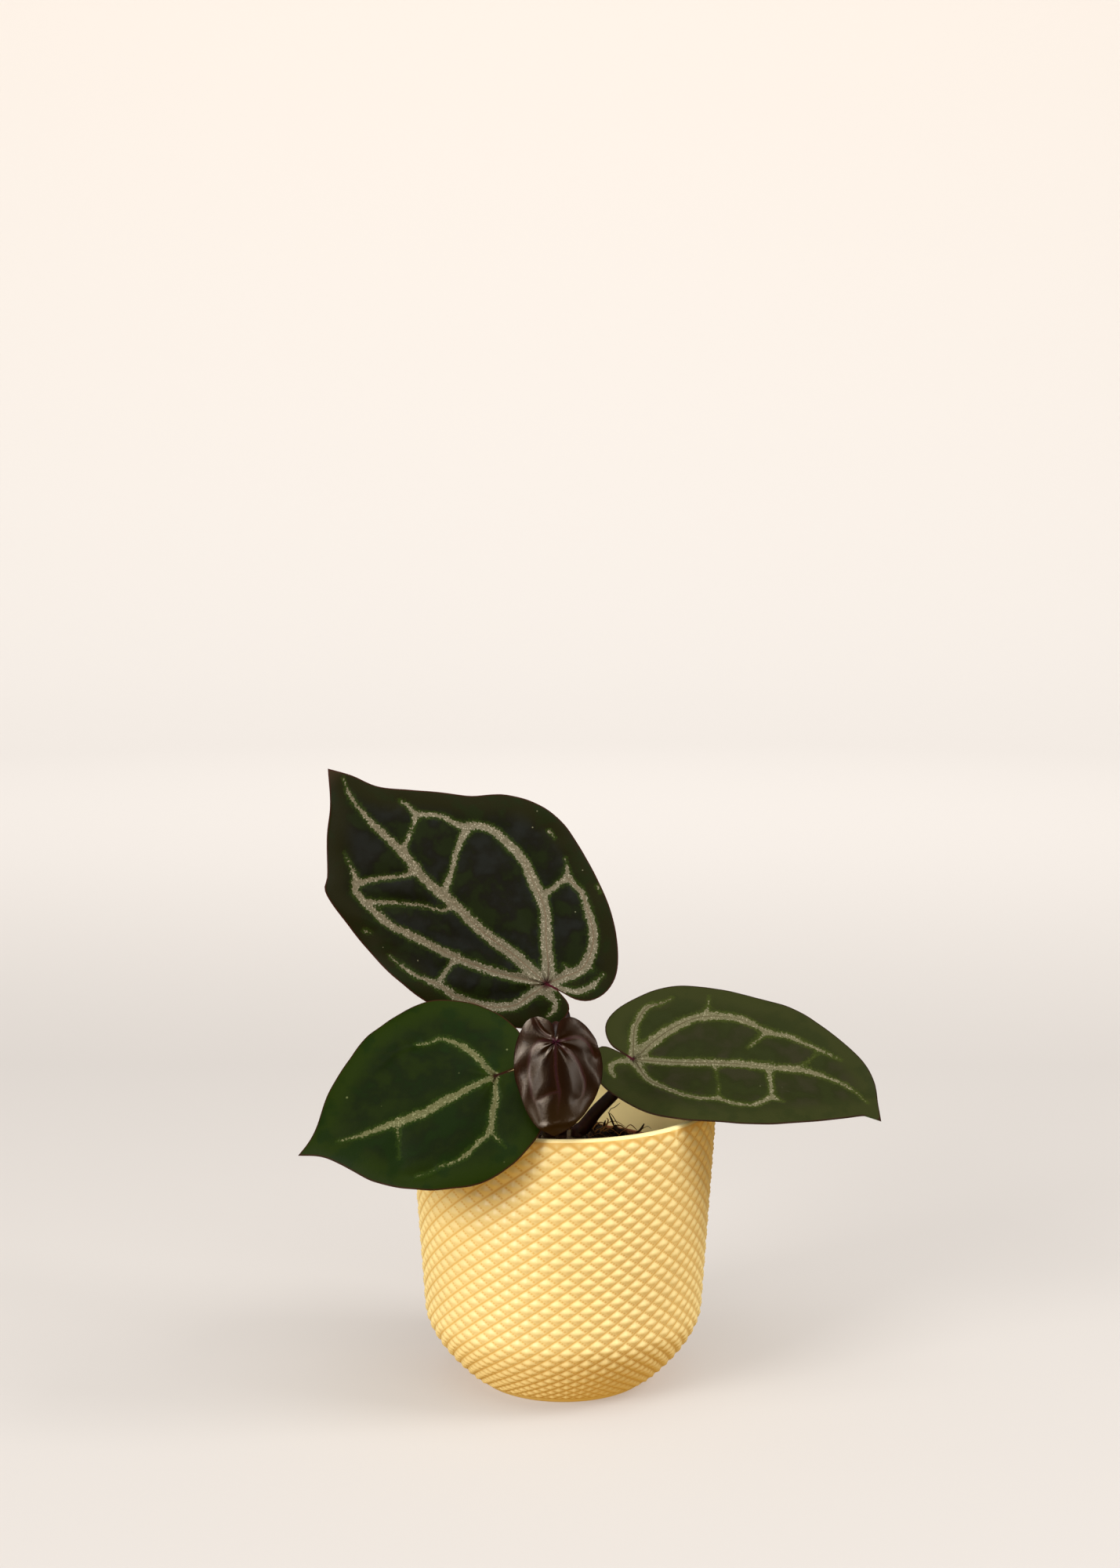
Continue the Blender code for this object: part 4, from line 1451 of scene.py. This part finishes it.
LEFT_BLADE = Blade(
    name="left", attachment=(-16.0, -30.5, 84.0), along=(-0.93, -0.17, -0.3), face=(-0.06, -0.8, 0.6),
    right_margin=(
        (0.05, -1.8), (0.3, -5.6), (1.7, -8.4), (5.0, -9.3), (10.0, -8.8), (16.0, -5.6), (21.0, 0.0),
        (24.5, 7.5), (24.9, 14.0), (22.3, 23.6), (18.0, 30.3), (11.5, 38.0), (4.2, 43.3), (1.2, 46.3),
        (-0.8, 49.4),
    ),
    left_margin=(
        (0.05, -1.8), (-0.3, -5.6), (-1.9, -8.2), (-5.5, -9.1), (-11.0, -8.4), (-16.5, -5.3), (-20.5, 1.0),
        (-22.8, 9.0), (-22.0, 18.0), (-18.8, 27.0), (-13.5, 34.8), (-6.8, 40.7), (-3.2, 44.5),
        (-0.8, 49.4),
    ),
    right_fold=0.08, left_fold=0.08, bow=3.0, length=50.0, wave=0.5, wave_count=6, wave_phase=1.0,
    bulge=0.6, bulge_reach=3.0,
    creases=(
        Crease(((15.0, 13.0), (15.4, 19.9), (13.3, 24.0), (12.4, 27.3)), 0.5, 1.2),
        Crease(((-16.2, 20.0), (-16.0, 25.4), (-13.0, 30.0)), 0.4, 1.4),
    ),
    veins=(
        Vein((
            (0.0, 0.0), (-0.4, 4.7), (-1.0, 9.2), (-1.5, 13.6), (-2.4, 18.1), (-2.3, 24.4), (-2.1, 30.7),
            (-2.0, 34.9), (-1.3, 39.7),
        ), (0.35, 0.6, 0.8, 0.95, 0.95, 0.8, 0.6, 0.4, -0.1), main=True),
        Vein((
            (0.3, 0.2), (2.9, 1.4), (6.2, 2.4), (10.0, 4.6), (12.6, 6.7), (14.2, 8.8), (14.3, 12.6),
            (15.2, 14.8),
        ), (0.5, 0.6, 0.6, 0.6, 0.5, 0.4, 0.2, -0.1), main=True),
        Vein((
            (-0.4, 0.2), (-4.8, 1.6), (-8.4, 3.7), (-12.1, 5.5), (-13.5, 8.5), (-15.0, 11.6),
            (-16.0, 14.4), (-16.1, 18.7), (-16.3, 22.1), (-16.0, 25.4),
        ), (0.5, 0.6, 0.65, 0.65, 0.5, 0.4, 0.3, 0.15, 0.05, -0.1), main=True),
        Vein(((-12.0, 5.4), (-15.1, 4.5), (-17.2, 3.5)), (0.3, -0.05, -0.2)),
        Vein(((-2.3, 25.0), (-5.0, 25.8), (-10.4, 27.6)), (0.2, -0.15, -0.2)),
    ),
    lamina=LeafLamina(
        name="satin_green_leaf", panel="#111a05", flank="#142003", outer="#1c2903", patch="#182304",
        moss="#122204", border="#243409", vein="#626344", shade="#4d4f2f", glint="#848664", rib="#595939",
        heart="#30200f", seam="#28120a", margin="#30160c", tip="#2c0e08", speck="#6c744c", tip_from=0.965,
        tip_to=1.0, roughness=0.42, specular=0.05, rib_reach_mm=20.0, heart_mm=1.0, speck_mm=6.0,
        speck_share=0.06,
    ),
    petiole=Petiole(
        name="left",
        route=(
            (-3.3, -1.1, 61.3), (-3.5, -1.6, 63.5), (-6.9, -8.0, 71.0), (-11.5, -17.0, 77.3),
            (-15.0, -24.8, 80.3), (-15.84, -27.95, 82.07), (-15.97, -29.98, 83.61),
        ),
        base_radius=1.9, top_radius=1.3,
    ),
)

YOUNG_BLADE = Blade(
    name="young", attachment=(-1.8, -38.0, 94.3), along=(-0.02, -0.16, -0.99), face=(0.0, -0.97, 0.16),
    right_margin=(
        (0.0, -0.8), (0.8, -3.8), (2.3, -5.0), (4.5, -5.5), (6.8, -4.4), (8.6, -1.0), (9.6, 3.5),
        (9.4, 8.5), (7.9, 13.0), (6.2, 17.0), (4.0, 20.0), (1.5, 21.3), (-0.1, 22.0),
    ),
    left_margin=(
        (0.0, -0.8), (-0.6, -4.3), (-2.6, -5.6), (-5.0, -5.1), (-7.5, -3.0), (-9.5, 0.0), (-10.9, 4.5),
        (-10.9, 9.0), (-9.5, 13.0), (-7.2, 16.7), (-4.3, 19.6), (-1.8, 21.2), (-0.1, 22.0),
    ),
    right_fold=0.35, left_fold=0.35, bow=0.0, length=22.0, wave=0.35, wave_count=9, wave_phase=0.0,
    bulge=0.5, bulge_reach=2.2, ragged=0.15, ragged_length=2.5, web=0.18, spokes=144, rings=30,
    creases=(
        Crease(((3.4, 20.2), (1.9, 19.7), (-0.5, 19.1), (-2.8, 18.6), (-5.2, 18.3)), -0.35, 0.5),
        Crease(((5.2, -5.4), (4.1, -3.4), (2.9, -2.1), (1.2, -0.9)), 0.4, 0.5),
    ),
    veins=(
        Vein((
            (0.0, 0.0), (0.0, 3.3), (-0.2, 6.9), (-0.7, 9.8), (-1.1, 11.8), (-1.0, 14.3), (-0.8, 17.6),
            (-0.4, 20.0),
        ), (0.35, 0.3, 0.3, 0.28, 0.28, 0.2, 0.1, -0.1), main=True),
        Vein((
            (0.2, 0.0), (3.3, -0.1), (4.6, 0.9), (5.6, 2.6), (6.1, 5.2), (5.8, 9.1), (5.2, 13.0),
            (4.4, 14.1), (3.1, 18.5),
        ), (0.3, 0.35, 0.35, 0.35, 0.3, 0.3, 0.25, 0.2, -0.1), main=True),
        Vein(((4.4, 14.1), (1.2, 12.2), (-1.0, 11.6)), (0.2, 0.2, 0.2)),
        Vein((
            (-0.2, 0.2), (-2.1, 1.7), (-4.1, 3.3), (-5.5, 5.3), (-6.4, 7.7), (-7.0, 9.8), (-6.5, 12.6),
            (-5.5, 13.6),
        ), (0.35, 0.35, 0.35, 0.35, 0.3, 0.3, 0.2, 0.0), main=True),
        Vein((
            (-0.2, 0.0), (-2.8, -0.6), (-4.8, -1.0), (-6.8, -0.2), (-8.2, 1.6), (-9.1, 3.8),
        ), (0.3, 0.3, 0.3, 0.25, 0.2, -0.1), main=True),
        Vein(((0.6, -0.5), (2.9, -2.1), (4.8, -5.0)), (0.2, 0.12, 0.0)),
    ),
    lamina=LeafLamina(
        name="glossy_bronze_leaf", panel="#160602", flank="#1d0b04", outer="#230f05", patch="#1d0e03",
        moss="#1a0b02", border="#2a140c", vein="#2b1516", shade="#241112", glint="#331c1d", rib="#30141c",
        heart="#3c1024", seam="#22080c", margin="#1a0806", tip="#241604", speck="#261808", flank_mm=1.4,
        outer_mm=2.6, border_mm=0.4, feather_mm=0.08, rib_mm=0.1, heart_mm=1.2, seam_mm=0.2, tip_from=0.45,
        tip_to=0.82, margin_mm=0.2, grain_mm=0.22, speck_mm=2.4, roughness=0.26, specular=0.3,
        gloss_tint="#ffe7cb", coat=0.12, coat_roughness=0.2,
    ),
    underside=LeafUnderside(name="bronze_leaf_underside", tone="#6a4434", second="#8a5a50"),
    petiole=Petiole(
        name="young",
        route=(
            (-0.6, -4.0, 61.3), (-0.6, -4.4, 63.5), (-0.8, -14.0, 77.0), (-1.2, -26.0, 90.2),
            (-1.7, -32.4, 96.4), (-1.8, -34.6, 96.6), (-1.8, -35.9, 95.0), (-1.8, -37.1, 94.2),
        ),
        base_radius=1.5, top_radius=0.9,
    ),
)

LEAVES = (BACK_BLADE, RIGHT_BLADE, LEFT_BLADE, YOUNG_BLADE)


@dataclass(frozen=True)
class SoftLight:
    """A studio softbox: where it hangs, its width and height in metres, and its power in watts."""

    name: str
    place: Place
    width: float
    height: float
    power: float
    aim: Place = (0.0, 0.0, 0.075)
    colour: str = "#fffcf8"
    glints_only: bool = False


@dataclass(frozen=True)
class Studio:
    """A pale round sweep, soft light and the camera at the photograph's angle."""

    floor_radius: float = 1.3
    sweep_radius: float = 0.9
    sweep_sides: int = 96
    wall_height: float = 2.6
    paper: str = "#a3a09d"
    paper_glow: float = 0.42
    camera_place: Place = (0.0, -0.600, 0.2326)
    camera_pitch: float = 7.92
    camera_turn: float = 0.08
    sensor: float = 36.0
    focal_pixels: float = 3172.0
    sky: str = "#dfd8d2"
    ground: str = "#ffc765"
    ground_end: float = -0.2
    sky_start: float = 0.1
    sky_strength: float = 0.62
    sky_in_glints: float = 0.30
    lights: tuple[SoftLight, ...] = (
        SoftLight("overhead", (0.05, -0.40, 1.15), 0.9, 0.9, 7.5),
        SoftLight("key", (-1.00, -0.95, 0.70), 0.6, 0.6, 16.5),
        SoftLight("fill", (0.98, -0.18, 0.90), 0.5, 0.5, 9.0),
        SoftLight("window_left", (-0.80, -0.90, 0.35), 0.10, 0.6, 5.0, glints_only=True),
        SoftLight("window_right", (0.85, -0.95, 0.30), 0.07, 0.5, 2.6, glints_only=True),
        SoftLight("backdrop", (0.0, 0.55, 1.25), 1.8, 0.8, 42.0, aim=(0.0, 2.1, 0.95)),
    )

    def build(self) -> None:
        """Makes the sweep, the lights, the world and the camera."""
        self.sweep()
        self.world()
        for light in self.lights:
            self.lamp(light)
        self.camera()
        bpy.context.scene.view_settings.view_transform = "Standard"

    def sweep(self) -> None:
        """Turns the pale floor and the wall that it curves up into."""
        profile = [(0.0, 0.0), (0.5 * self.floor_radius, 0.0), (self.floor_radius, 0.0)]
        for turn in range(10, 91, 10):
            radius = self.floor_radius + self.sweep_radius * sin(radians(turn))
            profile.append((radius, self.sweep_radius * (1 - cos(radians(turn)))))
        profile.append((self.floor_radius + self.sweep_radius, self.wall_height))
        bm = turned(profile, self.sweep_sides)
        bmesh.ops.reverse_faces(bm, faces=bm.faces)
        mesh = bpy.data.meshes.new("studio_sweep")
        bm.to_mesh(mesh)
        bm.free()
        mesh.shade_smooth()
        paper = bpy.data.materials.new("matt_paper")
        paper.use_nodes = True
        inputs = paper.node_tree.nodes["Principled BSDF"].inputs
        for name, value in (
            ("Base Color", linear(self.paper)), ("Roughness", 0.9), ("Specular IOR Level", 0.1),
            ("Emission Color", linear(self.sky)), ("Emission Strength", self.paper_glow),
        ):
            inputs[name].default_value = value
        mesh.materials.append(paper)
        sweep = bpy.data.objects.new("studio_sweep", mesh)
        sweep.visible_diffuse = False
        sweep.visible_glossy = False
        bpy.context.scene.collection.objects.link(sweep)

    def world(self) -> None:
        """Sets a pale sky over a warmer ground, dimmer where it is mirrored, as a room would be."""
        world = bpy.data.worlds.new("studio_sky")
        world.use_nodes = True
        tree = world.node_tree
        tree.nodes.clear()
        direction = add_node(tree, "ShaderNodeTexCoord").outputs["Generated"]
        height = add_node(tree, "ShaderNodeSeparateXYZ", {"Vector": direction}).outputs["Z"]
        share = add_node(
            tree, "ShaderNodeMapRange",
            {"Value": height, "From Min": self.ground_end, "From Max": self.sky_start},
        )
        colour = add_node(
            tree, "ShaderNodeMix", {0: share, 6: linear(self.ground), 7: linear(self.sky)}, data_type="RGBA"
        ).outputs[2]
        glint = add_node(tree, "ShaderNodeLightPath").outputs["Is Glossy Ray"]
        dimmed = self.sky_in_glints * self.sky_strength
        strength = add_node(
            tree, "ShaderNodeMapRange", {"Value": glint, "To Min": self.sky_strength, "To Max": dimmed}
        )
        background = add_node(tree, "ShaderNodeBackground", {"Color": colour, "Strength": strength})
        add_node(tree, "ShaderNodeOutputWorld", {"Surface": background})
        bpy.context.scene.world = world

    def lamp(self, light: SoftLight) -> None:
        """Hangs one softbox.

        Args:
            light: Its place, size, power and aim.
        """
        data = bpy.data.lights.new(light.name, "AREA")
        data.shape = "RECTANGLE"
        data.size = light.width
        data.size_y = light.height
        data.energy = light.power
        data.color = linear(light.colour)[:3]
        lamp = bpy.data.objects.new(light.name, data)
        lamp.location = light.place
        lamp.rotation_euler = (Vector(light.aim) - Vector(light.place)).to_track_quat("-Z", "Y").to_euler()
        lamp.visible_camera = False
        lamp.visible_diffuse = not light.glints_only
        bpy.context.scene.collection.objects.link(lamp)

    def camera(self) -> None:
        """Places the camera where the photograph was taken from."""
        data = bpy.data.cameras.new("camera")
        data.sensor_width = self.sensor
        data.lens = self.sensor * self.focal_pixels / PHOTO_HEIGHT
        data.clip_start = 0.01
        camera = bpy.data.objects.new("camera", data)
        camera.location = self.camera_place
        camera.rotation_euler = (radians(90 - self.camera_pitch), 0.0, radians(self.camera_turn))
        bpy.context.scene.collection.objects.link(camera)
        bpy.context.scene.camera = camera


def main() -> None:
    """Builds the plant, the pots and the studio, in order."""
    logging.basicConfig(level=logging.INFO, format="%(message)s")
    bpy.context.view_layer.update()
    CoverPot().build()
    NurseryPot().build()
    PottingMix().build()
    Crown().build()
    stalk_skin = PlantSkin(name="waxy_stalk_skin").material()
    margin_skin = PlantSkin(name="leaf_margin", tone="#2c1410", second="#4a2218", grain_mm=2.0).material()
    for blade in LEAVES:
        blade.build(stalk_skin, margin_skin)
    Studio().build()
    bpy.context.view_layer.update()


if __name__ == "__main__":
    main()
